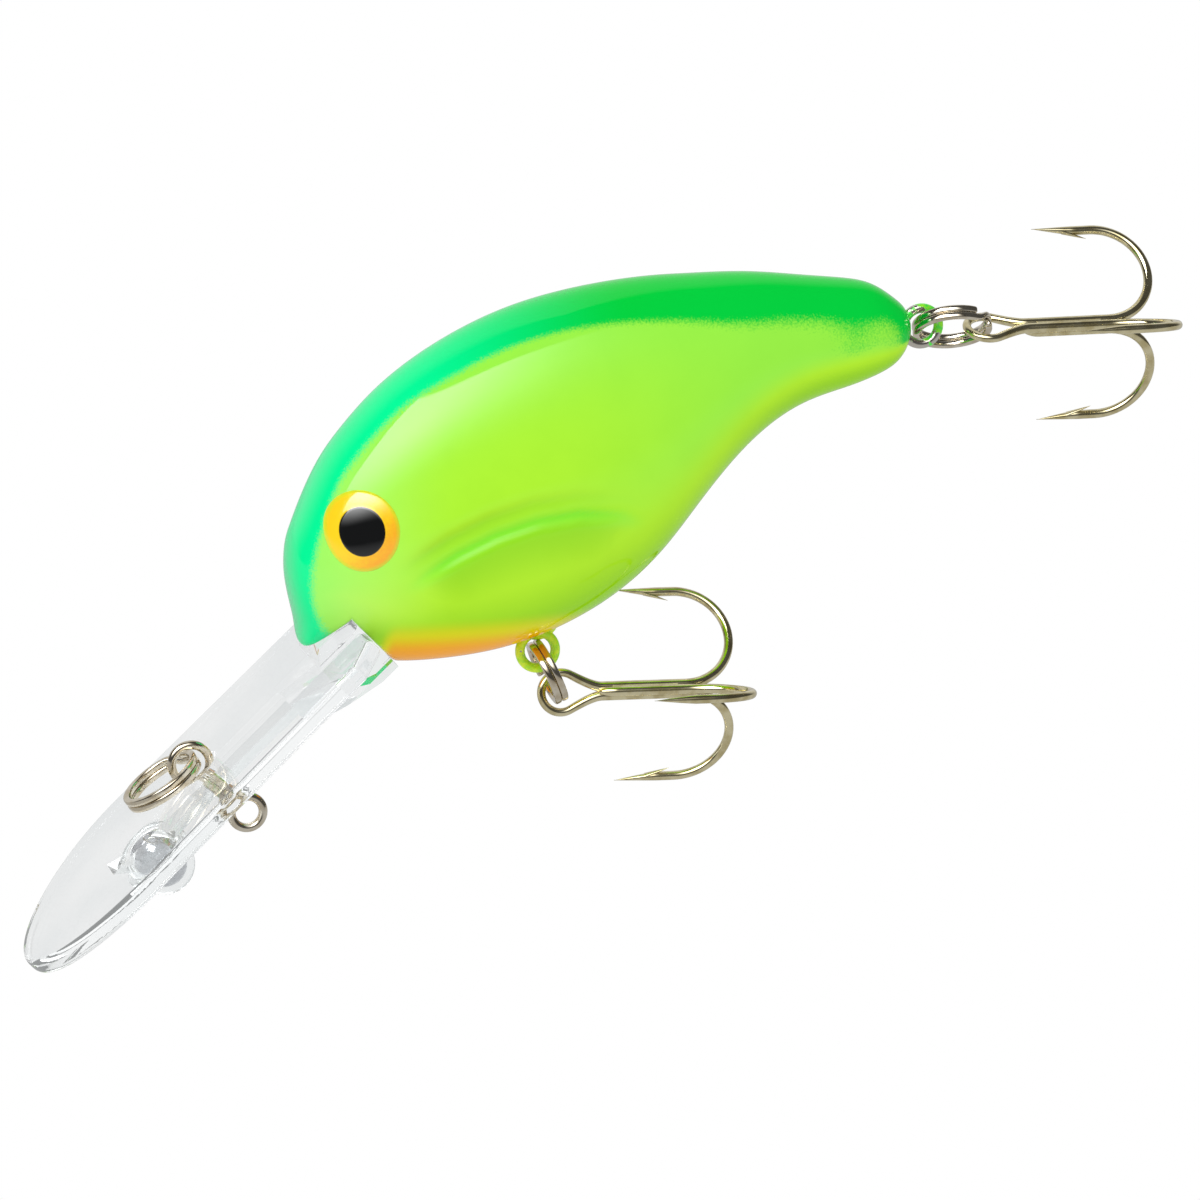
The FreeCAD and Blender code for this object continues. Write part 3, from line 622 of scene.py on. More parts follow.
def shell_mesh():
    """The left half: skin, bill seat, hollow and seam face."""
    mesh = bmesh.new()
    outer = add_grid(mesh, outer_rows())
    close_end(mesh, outer[0], flip=True)
    close_end(mesh, outer[-1])
    press_cheeks(mesh)
    cut_notch(mesh)
    first, last = (round(place * STEPS_ALONG) for place in HOLLOW)
    inner = [section_row(step / STEPS_ALONG, WALL) for step in range(first, last + 1)]
    made = add_grid(mesh, inner, flip=True)
    close_end(mesh, made[0])
    close_end(mesh, made[-1], flip=True)
    seam_strip(mesh, [(row[0], row[-1]) for row in outer[:first]])
    for side in (0, -1):
        seam_strip(mesh, [(far[side], near[side]) for far, near in zip(outer[first:], made)])
    seam = [vertex for vertex in mesh.verts if vertex.co.y > -ON_SEAM]
    for vertex in seam:
        vertex.co.y = 0.0
    bmesh.ops.remove_doubles(mesh, verts=seam, dist=SEAM_MERGE)
    bmesh.ops.remove_doubles(mesh, verts=mesh.verts[:], dist=SKIN_MERGE)
    close_middle(mesh)
    bmesh.ops.dissolve_degenerate(mesh, dist=SLIVER, edges=mesh.edges[:])
    return mesh


# --- wire -------------------------------------------------

WIRE_SIDES = 20
TIE_RING, BELLY_RING, TAIL_RING = 7.95, 6.2, 7.45       # middle line diameters
COIL_TURN = 330.0       # degrees of each flat coil, the rest is the step between the coils
COIL_STEP = 5.0         # degrees from one row of points to the next
RING_ACROSS, RING_ALONG = 0.375, 0.36   # half sizes of the ring wire
RING_GAP = 0.02         # between the two coils
RING_SQUARE = 3.4       # how square the ring wire's section is, 2 is round
END_ROUND = [(0.0, 0.55), (0.05, 0.82), (0.15, 0.96)]   # reach and size at the ring's cut ends

HOOK_WIRE, SHANK_WIRE, BEND_WIRE = 0.44, 0.53, 0.47     # wire radii at the eye, shank and bend
HOOK_EYE = 2.05         # middle line radius of the eye
EYE_LEAVE = 62.0        # degrees from straight behind where the wire leaves the eye
NECK_PULL, NECK_STEPS = 3.0, 12     # how stiffly the wire comes together behind the eye
HOOK_NECK = 4.4         # centre of the eye to the start of the straight shank
HOOK_SHANK = 13.2       # and to its end
SHANK_STEPS = 8
HOOK_BEND = 5.25        # middle line radius of the bend
HOOK_ARM, ARM_STEPS = 6.3, 5        # bend to point, and steps before the taper
THIN_FROM, THIN_TO = 7, 22          # points of the run over which the wire thins
HOOK_POINT, POINT_STEPS = 4.4, 20   # the tapered end
POINT_TAPER, POINT_LEAN = 1.15, 0.8     # how full the taper is, and how much it keeps to the outside
TIP_RADIUS = 0.025
HOOK_SPREAD = 120.0     # degrees between the hooks of a treble
SHANK_OFFSET = 0.46     # half the distance between the two wires of a double hook
THIRD_START = 1.4       # how far behind that neck the third shank starts
NOSE_STEPS, NOSE_LONG, NOSE_SINK = 12, 2.0, 0.5     # the third hook's blended front end
BARB_LONG, BARB_AHEAD, BARB_LEAN = 2.6, 1.15, 20.0
BARB_SUNK, BARB_WIRE = 0.12, 0.34   # depth of its root in the arm, and its radius there
BARB_STEPS, BARB_TAPER, BARB_FLAT = 8, 0.8, 0.6


def superellipse(across, along, power, sides):
    """Points of a rounded rectangle, as offsets across and along."""
    points = []
    for step in range(sides):
        angle = 2 * math.pi * step / sides
        c, s = math.cos(angle), math.sin(angle)
        points.append((across * math.copysign(abs(c) ** (2 / power), c),
                       along * math.copysign(abs(s) ** (2 / power), s)))
    return points


def add_tube(mesh, rows):
    """A closed tube through rings of points, with its ends filled."""
    made = [[mesh.verts.new(point) for point in row] for row in rows]
    for first, second in zip(made, made[1:]):
        for i in range(len(first)):
            after = (i + 1) % len(first)
            mesh.faces.new((first[i], first[after], second[after], second[i]))
    mesh.faces.new(made[0][::-1])
    mesh.faces.new(made[-1])


def round_rows(points, radii, squash=1.0, up=None):
    """Circles square to a path, with no twist from one to the next."""
    rows, side = [], None
    for i, (point, radius) in enumerate(zip(points, radii)):
        way = (points[min(i + 1, len(points) - 1)] - points[max(i - 1, 0)]).normalized()
        side = side or (up or way.orthogonal())
        side = (side - way * side.dot(way)).normalized()
        other = way.cross(side)
        row = []
        for step in range(WIRE_SIDES):
            angle = 2 * math.pi * step / WIRE_SIDES
            across = side * (radius * math.cos(angle))
            row.append(point + across + other * (radius * squash * math.sin(angle)))
        rows.append(row)
    return rows


def arc(centre, first, second, start, end, step=5.0):
    """Points round a centre, from angle start to end, between two unit directions."""
    count = max(2, round(abs(end - start) / step))
    points = []
    for i in range(count + 1):
        angle = math.radians(start + (end - start) * i / count)
        points.append(centre + first * math.cos(angle) + second * math.sin(angle))
    return points


def hook_run(start, way):
    """Shank, bend and arm as far as the taper, with the wire's radii."""
    foot = Vector((HOOK_SHANK, start.y, start.z))
    points = [start.lerp(foot, step / SHANK_STEPS) for step in range(SHANK_STEPS)]
    centre = foot + way * HOOK_BEND
    points += arc(centre, -way * HOOK_BEND, Vector((HOOK_BEND, 0, 0)), 0, 180)
    top = centre + way * HOOK_BEND
    back = Vector((-1, 0, 0))
    straight = HOOK_ARM - HOOK_POINT
    points += [top + back * (straight * step / ARM_STEPS) for step in range(1, ARM_STEPS + 1)]
    thinner = BEND_WIRE - SHANK_WIRE
    radii = [SHANK_WIRE + thinner * ramp(i, THIN_FROM, THIN_TO) for i in range(len(points))]
    end = points[-1]
    for step in range(1, POINT_STEPS + 1):
        share = step / POINT_STEPS
        radius = max(TIP_RADIUS, BEND_WIRE * (1 - share ** POINT_TAPER))
        points.append(end + back * (HOOK_POINT * share) + way * (POINT_LEAN * (BEND_WIRE - radius)))
        radii.append(radius)
    return points, radii, end


def add_barb(mesh, end, way):
    """The barb, a sliver lifted from the inner side of the arm."""
    lean = math.radians(BARB_LEAN)
    root = end - way * BARB_SUNK - Vector((BARB_AHEAD, 0, 0))
    along = Vector((math.cos(lean), 0, 0)) - way * math.sin(lean)
    points, radii = [], []
    for step in range(BARB_STEPS + 1):
        share = step / BARB_STEPS
        points.append(root + along * (BARB_LONG * share))
        radii.append(max(TIP_RADIUS, BARB_WIRE * (1 - share) ** BARB_TAPER))
    across = way.cross(Vector((1, 0, 0)))
    add_tube(mesh, round_rows(points, radii, BARB_FLAT, across))


def hook_way(side):
    """The way from the shank to a hook's bend: side 1 and -1 for the double hook, 0 for the third."""
    angle = math.radians(side * HOOK_SPREAD)
    return Vector((0, -math.cos(angle), math.sin(angle)))


def hermite(a, slope_a, b, slope_b, t):
    """A place on the smooth curve between two points with given slopes."""
    return (a * (2 * t ** 3 - 3 * t ** 2 + 1) + slope_a * (t ** 3 - 2 * t ** 2 + t)
            + b * (3 * t ** 2 - 2 * t ** 3) + slope_b * (t ** 3 - t ** 2))


def double_half(side):
    """From the front of the eye to a point: half eye, neck, shank, bend and arm."""
    along, lift = Vector((1, 0, 0)), Vector((0, 0, side))
    loop = arc(Vector(), along * HOOK_EYE, lift * HOOK_EYE, 180, EYE_LEAVE)
    leave = math.radians(EYE_LEAVE)
    slope = (along * math.sin(leave) - lift * math.cos(leave)) * NECK_PULL
    start = Vector((HOOK_NECK, 0, side * SHANK_OFFSET))
    neck, swell = [], []
    for step in range(1, NECK_STEPS):
        share = step / NECK_STEPS
        neck.append(hermite(loop[-1], slope, start, along * NECK_PULL, share))
        swell.append(HOOK_WIRE + (SHANK_WIRE - HOOK_WIRE) * share)
    run, radii, end = hook_run(start, hook_way(side))
    return loop + neck + run, [HOOK_WIRE] * len(loop) + swell + radii, end


def double_hook_mesh():
    mesh = bmesh.new()
    upper, upper_radii, upper_end = double_half(1)
    lower, lower_radii, lower_end = double_half(-1)
    points = upper[::-1] + lower[1:]
    add_tube(mesh, round_rows(points, upper_radii[::-1] + lower_radii[1:]))
    add_barb(mesh, upper_end, hook_way(1))
    add_barb(mesh, lower_end, hook_way(-1))
    return mesh


def single_hook_mesh():
    """The third hook, lying in the groove between the two wires, its front end sunk into them."""
    mesh = bmesh.new()
    depth = 2 * SHANK_OFFSET * math.sin(math.radians(HOOK_SPREAD / 2))
    start = Vector((HOOK_NECK + THIRD_START, -depth, 0))
    points, radii, end = hook_run(start, hook_way(0))
    nose, nose_radii = [], []
    for step in range(1, NOSE_STEPS):
        left = 1 - step / NOSE_STEPS
        nose.append(start + Vector((-NOSE_LONG * left, depth * NOSE_SINK * left ** 2, 0)))
        nose_radii.append(SHANK_WIRE * math.sqrt(1 - left ** 2))
    add_tube(mesh, round_rows(nose + points, nose_radii + radii))
    add_barb(mesh, end, hook_way(0))
    return mesh


def split_ring_mesh(diameter):
    """One wire wound twice round: a flat coil, a step, and a second flat coil."""
    mesh = bmesh.new()
    rise = RING_ALONG + RING_GAP / 2
    total = 360 + COIL_TURN
    count = round(total / COIL_STEP)
    stops = [(total * i / count, 1.0) for i in range(1, count)]
    head = [(math.degrees(2 * reach / diameter), size) for reach, size in END_ROUND]
    stops = head + stops + [(total - turn, size) for turn, size in head[::-1]]
    rows = []
    for degrees, size in stops:
        share = min(1.0, max(0.0, (degrees - COIL_TURN) / (360 - COIL_TURN)))
        height = -rise * math.cos(math.pi * share)
        angle = math.radians(degrees)
        way = Vector((math.cos(angle), math.sin(angle), 0))
        outline = superellipse(RING_ACROSS * size, RING_ALONG * size, RING_SQUARE, WIRE_SIDES)
        rows.append([way * (diameter / 2 + across) + Vector((0, 0, height + along))
                     for across, along in outline])
    add_tube(mesh, rows)
    bmesh.ops.recalc_face_normals(mesh, faces=mesh.faces[:])
    return mesh


def turned(place, pitch, roll, phase=0.0):
    """A frame at a place, pitched up from +X, rolled about its length and turned about its axis."""
    return (Matrix.Translation(place) @ Matrix.Rotation(-math.radians(pitch), 4, "Y")
            @ Matrix.Rotation(math.radians(roll), 4, "X") @ Matrix.Rotation(math.radians(phase), 4, "Z"))


# --- materials --------------------------------------------

LIME = rgba(184, 243, 40)           # flanks
SHADE_AND_MOTTLE_GREEN = rgba(150, 216, 14)           # painted shade on down-facing skin and on the cheek panel, also a faint random mottle
GREEN = rgba(0, 206, 62)            # back
MINT_SHEEN = rgba(0, 244, 150)            # head: the back's green turned mint, partly the paint and partly painted sheen
FOLD_HIGHLIGHT_GREEN = rgba(104, 228, 38)     # painted highlight along the lower groove of the cheek
GROOVE_SHADE_OLIVE = rgba(150, 206, 0)           # painted shade in the upper groove
YELLOW = rgba(222, 218, 0)
ORANGE = rgba(250, 166, 0)          # throat
PALE_HIGHLIGHT = rgba(196, 255, 120)          # painted highlight under the eye
MIST = rgba(112, 236, 92)           # overspray below the green
GROOVE_HIGHLIGHT_SHADE_MOST = 0.65        # strength of the painted highlight and painted shade in the grooves
SPECKLE = 0.5           # how grainy the sprayed edge is


def paint_body():
    """Airbrushed paint under a clear coat, with painted shade on down-facing skin and the cheek panel,
    painted highlight and shade in the cheek grooves, painted highlight under the eye and partly painted
    sheen at the head. The mesh carries where the colours go.
    """
    m = Nodes("airbrushed_paint")
    speck = m.noise(scale=5200.0, detail=1.0)
    cloud = m.noise(scale=260.0, detail=2.0)
    back = m.attribute("back_share")
    spray = m.math("ADD", back, m.math("MULTIPLY", m.math("SUBTRACT", speck, 0.5), SPECKLE))
    # painted shade: down-facing skin and the cheek panel turn a darker green; the cloud adds a faint random mottle
    # of the same green
    flank = m.mix(m.fade(m.attribute("underside_shade_share"), 0.0, 1.0), LIME, SHADE_AND_MOTTLE_GREEN)
    flank = m.mix(m.fade(cloud, 0.35, 0.75, 0.0, 0.1), flank, SHADE_AND_MOTTLE_GREEN)
    # painted highlight along the lower groove, painted shade in the upper groove
    flank = m.mix(m.math("MULTIPLY", m.attribute("fold_highlight_share"), GROOVE_HIGHLIGHT_SHADE_MOST), flank, FOLD_HIGHLIGHT_GREEN)
    flank = m.mix(m.math("MULTIPLY", m.attribute("shade_share"), GROOVE_HIGHLIGHT_SHADE_MOST), flank, GROOVE_SHADE_OLIVE)
    throat = m.mix(m.fade(m.attribute("throat_share"), 0.5, 1.0), YELLOW, ORANGE)
    colour = m.mix(m.fade(m.attribute("throat_share"), 0.1, 0.6), flank, throat)
    # painted highlight under the eye
    colour = m.mix(m.attribute("pale_highlight_share"), colour, PALE_HIGHLIGHT)
    colour = m.mix(m.attribute("mist_share"), colour, MIST)
    # the back's green turns mint towards the head, partly painted sheen
    green = m.mix(m.attribute("head_sheen_share"), GREEN, MINT_SHEEN)
    colour = m.mix(m.fade(spray, 0.25, 0.75), colour, green)
    m.set(Base_Color=colour, Roughness=m.fade(cloud, 0.3, 0.7, 0.28, 0.36))
    m.shader.inputs["Specular IOR Level"].default_value = 0.0
    m.shader.inputs["Coat Weight"].default_value = 1.0
    m.shader.inputs["Coat Roughness"].default_value = 0.03
    m.shader.inputs["Coat IOR"].default_value = 1.4
    m.bump(m.noise(scale=900.0, detail=2.0), strength=0.12, distance=0.00004)
    return m.material


PAINTED_INSIDE_GLOW = 0.16     # painted glow: light grey given off where rays bounce about inside the clear plastic


def clear_plastic():
    """Clear moulded plastic. The low index keeps the thin plate from mirroring its own inside. Where
    rays have bounced about inside it, it gives off a faint light grey, a painted glow.
    """
    m = Nodes("clear_polycarbonate")
    haze = m.fade(m.noise(scale=90.0, detail=3.0), 0.3, 0.7)
    m.set(Base_Color=m.mix(haze, (0.80, 0.82, 0.825, 1), (0.87, 0.88, 0.88, 1)),
          Roughness=m.fade(m.noise(scale=300.0, detail=3.0), 0.3, 0.8, 0.01, 0.035))
    m.shader.inputs["Transmission Weight"].default_value = 1.0
    m.shader.inputs["IOR"].default_value = 1.25
    # painted glow: after a few bounces inside the plastic it gives off light grey
    bounces = m.add("ShaderNodeLightPath").outputs["Ray Depth"]
    m.set(Emission_Color=(0.8, 0.82, 0.82, 1),
          Emission_Strength=m.fade(bounces, 3.0, 5.0, 0.0, PAINTED_INSIDE_GLOW))
    m.bump(m.noise(scale=120.0, detail=2.0), strength=0.1, distance=0.0002)
    return m.material


def plated(name, bright, dull, rough):
    """Nickel plate with cloudy patches and fine rub marks."""
    m = Nodes(name)
    patch = m.noise(scale=700.0, detail=3.0)
    m.set(Base_Color=m.mix(m.fade(patch, 0.35, 0.7), bright, dull),
          Roughness=m.fade(m.noise(scale=1400.0, detail=3.0), 0.3, 0.75, rough, rough + 0.06))
    m.shader.inputs["Metallic"].default_value = 1.0
    m.bump(m.noise(scale=1600.0, detail=2.0), strength=0.06, distance=0.00002)
    return m.material


def painted_wire(name, coat, tint, wear):
    """The body's paint on a wire, worn through to the nickel where the ring rubs."""
    m = Nodes(name)
    worn = m.fade(m.noise(scale=620.0, detail=3.0, roughness=0.6), wear, wear + 0.05)
    cloud = m.noise(scale=1500.0, detail=2.0)
    paint = m.mix(m.fade(cloud, 0.35, 0.7), coat, tint)
    m.set(Base_Color=m.mix(worn, paint, rgba(214, 208, 198)), Metallic=worn,
          Roughness=m.fade(worn, 0.0, 1.0, 0.3, 0.2))
    m.shader.inputs["Coat Weight"].default_value = 0.6
    m.shader.inputs["Coat Roughness"].default_value = 0.05
    m.bump(m.fade(worn, 0.0, 1.0, 1.0, 0.0), strength=0.5, distance=0.00004)
    return m.material


PUPIL_EDGE = 0.61       # the pupil's size as a share of the eye
PUPIL_BLUR = 0.012      # half the width of its edge


def eye_enamel():
    """Glossy eye: black pupil, yellow iris turning orange towards its lower rear edge."""
    m = Nodes("eye_enamel")
    reach = m.attribute("eye_reach")
    rear = m.attribute("eye_rear")
    grain = m.noise(scale=2600.0, detail=3.0)
    mottle = m.math("MULTIPLY", m.math("SUBTRACT", grain, 0.5), 0.3)
    lower_rear = m.fade(m.math("ADD", rear, mottle), 0.45, 1.0)
    warm = m.mix(lower_rear, rgba(255, 214, 6), rgba(254, 172, 20))
    rim = m.fade(m.math("ADD", reach, m.math("MULTIPLY", mottle, 0.25)), 0.86, 1.0)
    iris = m.mix(m.math("MULTIPLY", rim, 0.55), warm, LIME)
    pupil = m.fade(reach, PUPIL_EDGE - PUPIL_BLUR, PUPIL_EDGE + PUPIL_BLUR)
    m.set(Base_Color=m.mix(pupil, rgba(9, 10, 11), iris),
          Roughness=m.fade(pupil, 0.0, 1.0, 0.04, 0.25))
    m.shader.inputs["Coat Weight"].default_value = 1.0
    m.shader.inputs["Coat Roughness"].default_value = 0.02
    m.bump(m.noise(scale=1500.0, detail=2.0), strength=0.08, distance=0.00003)
    return m.material


PAINT = paint_body()
CLEAR = clear_plastic()
RING_NICKEL = plated("ring_nickel", rgba(232, 224, 206), rgba(206, 192, 166), 0.09)
HOOK_NICKEL = plated("hook_nickel", rgba(240, 230, 190), rgba(208, 194, 146), 0.1)
STEEL = plated("ball_steel", rgba(205, 205, 208), rgba(170, 170, 174), 0.08)
EYE = eye_enamel()
BELLY_PAINT = painted_wire("belly_hanger_paint", rgba(214, 244, 22), rgba(170, 236, 20), 0.60)
TAIL_PAINT = painted_wire("tail_hanger_paint", rgba(60, 226, 60), rgba(150, 236, 30), 0.52)

NODE_MATERIALS = {
    "belly_hook_hanger": BELLY_PAINT, "tail_hook_hanger": TAIL_PAINT,
    "diving_bill": CLEAR, "weight_ball_cap": CLEAR, "bill_weight_ball": STEEL,
    "line_tie_wire": RING_NICKEL, "belly_ballast_slug": STEEL,
}


def material_for(name):
    """The look of a CAD node by its name."""
    if name in NODE_MATERIALS:
        return NODE_MATERIALS[name]
    if "ring" in name:
        return RING_NICKEL
    if "treble" in name:
        return HOOK_NICKEL
    if "rattle" in name:
        return STEEL
    return PAINT


for name, node in nodes.items():
    node.data.materials.clear()
    node.data.materials.append(material_for(name))


# --- pieces -----------------------------------------------

# The green back's lower edge, as x and its distance from the middle plane.
BACK_EDGE = [(12.0, 5.4), (14.5, 5.5), (18.0, 4.9), (23.0, 4.9), (30.0, 5.3), (57.0, 5.6),
             (70.0, 4.6), (78.0, 3.4)]
SPRAY_HALF, SPRAY_HEAD = 0.9, 0.7   # half the width of the sprayed edge, and what the head adds
MIST_REACH = 7.0        # how far the overspray reaches down from the green
MIST_MOST, PALE_HIGHLIGHT_MOST, PANEL_SHADE_MOST = 0.5, 0.8, 0.8    # the strongest a colour gets: overspray, painted highlight under the eye, painted shade on the cheek panel
CHIN_REAR = 24.0        # behind this x no green goes underneath
NOSE_TOP = 22.0         # below this height the green ends at the nose
CHEEK_X, CHEEK_TOP = (18.0, 60.0), 36.0     # the creases lie within these
# From and to where a colour comes in or goes out, as x, z or how far the skin faces up or down.
SPRAY_ENDS, HEAD_ENDS, CHIN_ENDS = (14.0, 40.0), (22.0, 48.0), (14.0, 22.0)
NOSE_ENDS = (20.5, 17.5)
TIP_X, TIP_Z = (76.4, 77.6), (42.2, 43.6)
THROAT_Z, THROAT_STARTS, THROAT_ENDS = (18.4, 12.2), (20.5, 23.0), (38.0, 52.0)
# where the painted highlight under the eye lies
PALE_HIGHLIGHT_Z, PALE_HIGHLIGHT_ENDS = (14.0, 19.0), (13.0, 29.0)
# FACING_DOWN: how far down the skin faces where the painted shade starts, and where it is full
FACING_UP, FACING_DOWN = (-0.35, 0.0), (0.1, 0.8)


def along_points(points, x):
    """A value between given points."""
    for (x0, v0), (x1, v1) in zip(points, points[1:]):
        if x <= x1:
            t = max(0.0, (x - x0) / (x1 - x0))
            return v0 + (v1 - v0) * t * t * (3 - 2 * t)
    return points[-1][1]


def paint_shares(point, normal):
    """Where the airbrushed colours lie: back, head, throat and overspray; and where light and shade are
    painted: shade facing down and on the cheek panel, highlight and shade in the grooves, highlight
    under the eye, sheen at the head.
    """
    x, z = point.x, point.z
    edge = along_points(BACK_EDGE, x) - abs(point.y)
    soft = SPRAY_HALF + SPRAY_HEAD * (1.0 - ramp(x, *SPRAY_ENDS))
    back = max(ramp(edge, -soft, soft), ramp(x, *TIP_X) * ramp(z, *TIP_Z))
    facing_up = ramp(normal.z, *FACING_UP)
    if x > CHIN_REAR:
        back *= facing_up
    if z < NOSE_TOP:
        back *= ramp(x, *NOSE_ENDS)
    throat = ramp(z, *THROAT_Z) * ramp(x, *THROAT_STARTS) * (1.0 - ramp(x, *THROAT_ENDS))
    mist = ramp(edge, -MIST_REACH, 0.0) * max(facing_up, 1.0 - ramp(x, *CHIN_ENDS))
    on_cheek = CHEEK_X[0] < x < CHEEK_X[1] and z < CHEEK_TOP
    lower, upper, panel = crease_shares(point) if on_cheek else (0.0, 0.0, 0.0)
    # head: partly painted sheen
    return {"back_share": back, "head_sheen_share": 1.0 - ramp(x, *HEAD_ENDS), "throat_share": throat,
            # painted shade on down-facing skin and on the cheek panel
            "underside_shade_share": max(ramp(-normal.z, *FACING_DOWN), PANEL_SHADE_MOST * panel),
            # painted highlight along the lower groove, painted shade in the upper one
            "fold_highlight_share": lower, "shade_share": upper,
            # painted highlight under the eye
            "pale_highlight_share": PALE_HIGHLIGHT_MOST * (1.0 - ramp(x, *PALE_HIGHLIGHT_ENDS)) * ramp(z, *PALE_HIGHLIGHT_Z),
            "mist_share": MIST_MOST * mist}


def write_shares(mesh):
    """Stores the colour shares on the vertices."""
    normals = [vertex.normal.copy() for vertex in mesh.vertices]
    shares = [paint_shares(vertex.co, normal) for vertex, normal in zip(mesh.vertices, normals)]
    for name in shares[0]:
        layer = mesh.attributes.new(name, "FLOAT", "POINT")
        layer.data.foreach_set("value", [share[name] for share in shares])


def finish_piece(name, mesh, material, body, slot, *replaced):
    """Makes the object from a mesh in millimetres, hangs it from its body's empty and hides the CAD nodes it
    replaces.
    """
    mesh.transform(Matrix.Scale(MM, 4))
    mesh.materials.append(material)
    piece = bpy.data.objects.new(name, mesh)
    bpy.context.scene.collection.objects.link(piece)
    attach(piece, body)
    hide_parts(*replaced)
    return piece


def sharpen_seam(mesh):
    """Keeps the flat seam face from being smoothed into the skin."""
    for edge in mesh.edges:
        a, b = (mesh.vertices[index].co for index in edge.vertices)
        edge.use_edge_sharp = abs(a.y) < FLAT and abs(b.y) < FLAT


def make_shells():
    """Both halves from one mesh."""
    half = shell_mesh()
    for side, name in ((1, "left"), (-1, "right")):
        mesh = bpy.data.meshes.new(name + "_shell_skin")
        half.to_mesh(mesh)
        if side < 0:
            mesh.transform(Matrix.Diagonal((1, -1, 1, 1)))
            mesh.flip_normals()
        mesh.polygons.foreach_set("use_smooth", [True] * len(mesh.polygons))
        sharpen_seam(mesh)
        mesh.update()
        write_shares(mesh)
        finish_piece(name + "_shell_skin", mesh, PAINT, "lure_body", "painted_body",
                     name + "_body_shell")
    half.free()


def smooth(mesh, sharp_degrees):
    """Smooth shading with sharp edges past an angle."""
    mesh.polygons.foreach_set("use_smooth", [True] * len(mesh.polygons))
    mesh.set_sharp_from_angle(angle=math.radians(sharp_degrees))


WIRE_SHARP, EYE_SHARP = 40, 60      # degrees past which an edge is left sharp


def wire_piece(name, shape, place, material, body, slot, *replaced):
    """A piece from a shape about its own middle, put in its place."""
    mesh = bpy.data.meshes.new(name)
    shape.to_mesh(mesh)
    shape.free()
    smooth(mesh, WIRE_SHARP)
    mesh.transform(place)
    return finish_piece(name, mesh, material, body, slot, *replaced)


RINGS = [
    # name, mount that gives its centre, diameter, pitch, roll, turn of the step between the coils
    ("line_tie", "line_tie_ring", TIE_RING, 33.25, 0.0, 70.0),
    ("belly", "belly_hook_ring", BELLY_RING, -66.0, 0.0, 70.0),
    ("tail", "tail_hook_ring", TAIL_RING, -4.0, 146.0, 65.0),
]
TREBLES = [
    # name, pitch, turn about the shank
    ("belly", -1.5, -8.0),
    ("tail", 0.0, 112.0),
]


def make_rings():
    centres = {mount["name"]: Vector(mount["pos_m"]) / MM for mount in frame["record"]["mounts"]}
    for name, mount, diameter, pitch, roll, phase in RINGS:
        place = turned(centres[mount], pitch, roll, phase)
        wire_piece(name + "_ring_coils", split_ring_mesh(diameter), place, RING_NICKEL,
                   name + "_ring", "bright_nickel", name + "_split_ring")


def make_trebles():
    for name, pitch, turn in TREBLES:
        place = turned(joint_place[name + "_treble_swing"], pitch, turn)
        body = name + "_treble"
        wire_piece(body + "_pair", double_hook_mesh(), place, HOOK_NICKEL, body, "hook_nickel",
                   body + "_double_hook")
        wire_piece(body + "_third", single_hook_mesh(), place, HOOK_NICKEL, body, "hook_nickel",
                   body + "_single_hook")


EYE_WIDE, EYE_TALL = 3.58, 4.05     # half sizes seen from the side
EYE_RISE, EYE_SUNK, EYE_BACK = 0.55, 0.06, 0.8      # dome over the skin, rim under it, rear dome
EYE_SHIFT = Vector((0.28, 0, -0.3))     # from the middle of the CAD eye
EYE_RINGS, EYE_SPOKES = 40, 96
PUPIL_STEP, STEP_HALF = 0.035, 0.02     # height of the pupil over the iris, half width of its edge
WARM_TURN = 40.0        # degrees below straight behind where the iris is warmest
HALVINGS = 30           # steps of the search for a section
SLOPE_STEP = 0.5        # over which the skin's slope is taken


def skin_half(x, z):
    """How far the skin is from the middle plane at a place on the flank."""
    first, last = 0.0, len(SECTIONS) - 1.0
    for _ in range(HALVINGS):
        middle = (first + last) / 2
        first, last = (middle, last) if section_x(middle) < x else (first, middle)
    low, high = section_low(first), section_high(first)
    middle = low + WIDEST * (high - low)
    share = abs(z - middle) / (high - middle if z > middle else middle - low)
    return section_half(first) * (1 - min(1.0, share) ** FULLNESS) ** (1 / FULLNESS)


def skin_way(x, z, side):
    """The way straight out of the skin."""
    step = SLOPE_STEP
    slope_x = (skin_half(x + step, z) - skin_half(x - step, z)) / (2 * step)
    slope_z = (skin_half(x, z + step) - skin_half(x, z - step)) / (2 * step)
    return Vector((-slope_x, side, -slope_z)).normalized()


def eye_rings():
    """The eye's rings from front to rear: size, height, and place between pupil and rim."""
    rings = []
    for ring in range(1, 2 * EYE_RINGS):
        turn = math.pi * ring / (2 * EYE_RINGS)
        across, out = math.sin(turn), math.cos(turn)
        if out > 0:
            step = PUPIL_STEP * ramp(across, PUPIL_EDGE + STEP_HALF, PUPIL_EDGE - STEP_HALF)
            rings.append((across, out * EYE_RISE + step, across))
        else:
            rings.append((across, out * EYE_BACK, 1.0))
    return rings


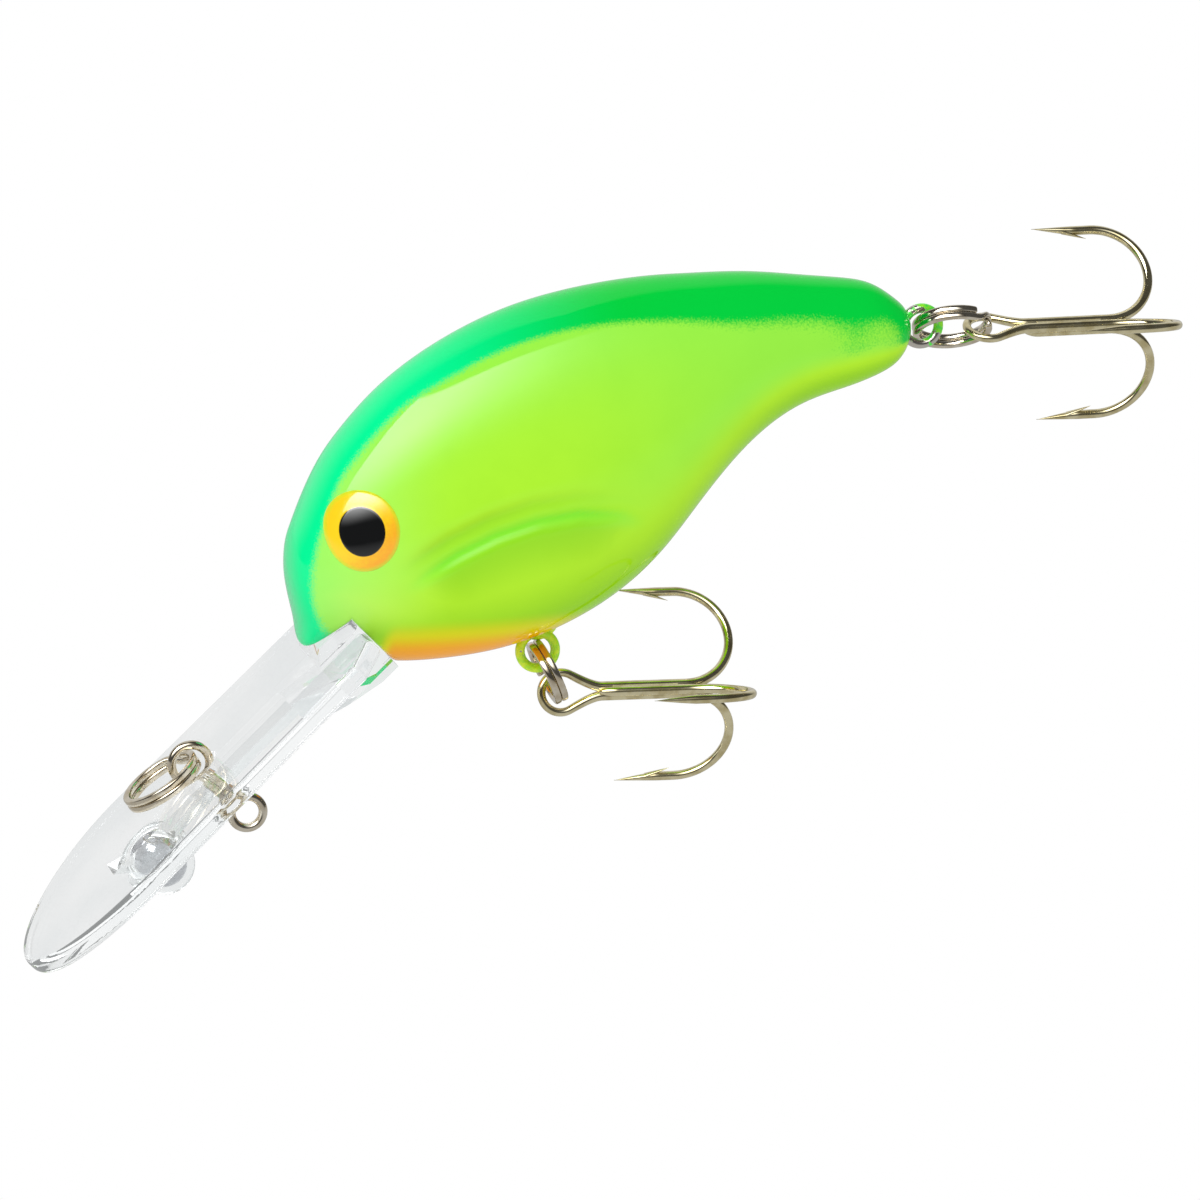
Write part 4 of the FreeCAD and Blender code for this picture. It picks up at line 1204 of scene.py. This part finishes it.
def eye_shape(side, centre):
    """A low dome that follows the skin, with a faint step at the pupil's edge. Also each point's
    place between pupil and rim, and its angle round the eye."""
    shape = bmesh.new()
    way = skin_way(centre.x, centre.z, side)
    places = []

    def add_point(across, angle, height, reach):
        x = centre.x + across * EYE_WIDE * math.cos(angle)
        z = centre.z + across * EYE_TALL * math.sin(angle)
        places.append((reach, angle))
        return shape.verts.new(Vector((x, side * skin_half(x, z), z)) + way * (height - EYE_SUNK))

    angles = [2 * math.pi * spoke / EYE_SPOKES for spoke in range(EYE_SPOKES)]
    rows = []
    for across, height, reach in eye_rings():
        rows.append([add_point(across, angle, height, reach) for angle in angles])
    for first, second in zip(rows, rows[1:]):
        for i in range(EYE_SPOKES):
            after = (i + 1) % EYE_SPOKES
            shape.faces.new((first[i], second[i], second[after], first[after]))
    for row, height, reach in ((rows[0], EYE_RISE + PUPIL_STEP, 0.0), (rows[-1], -EYE_BACK, 1.0)):
        middle = add_point(0.0, 0.0, height, reach)
        for i in range(EYE_SPOKES):
            shape.faces.new((row[i], row[(i + 1) % EYE_SPOKES], middle))
    bmesh.ops.recalc_face_normals(shape, faces=shape.faces[:])
    return shape, places


def eye_mesh(side, centre):
    """The eye's mesh, carrying what its colours need."""
    shape, places = eye_shape(side, centre)
    mesh = bpy.data.meshes.new("eye")
    shape.to_mesh(mesh)
    shape.free()
    warm = math.radians(WARM_TURN)
    rear = [0.5 + 0.5 * reach * math.cos(angle + warm) for reach, angle in places]
    for name, values in (("eye_reach", [reach for reach, _ in places]), ("eye_rear", rear)):
        layer = mesh.attributes.new(name, "FLOAT", "POINT")
        layer.data.foreach_set("value", values)
    smooth(mesh, EYE_SHARP)
    return mesh


def make_eyes():
    for side, name in ((-1, "left"), (1, "right")):
        low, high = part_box(name + "_eye")
        mesh = eye_mesh(side, (low + high) / (2 * MM) + EYE_SHIFT)
        finish_piece(name + "_eye_lens", mesh, EYE, "lure_body", "eye_enamel", name + "_eye")


make_shells()
make_eyes()
make_rings()
make_trebles()
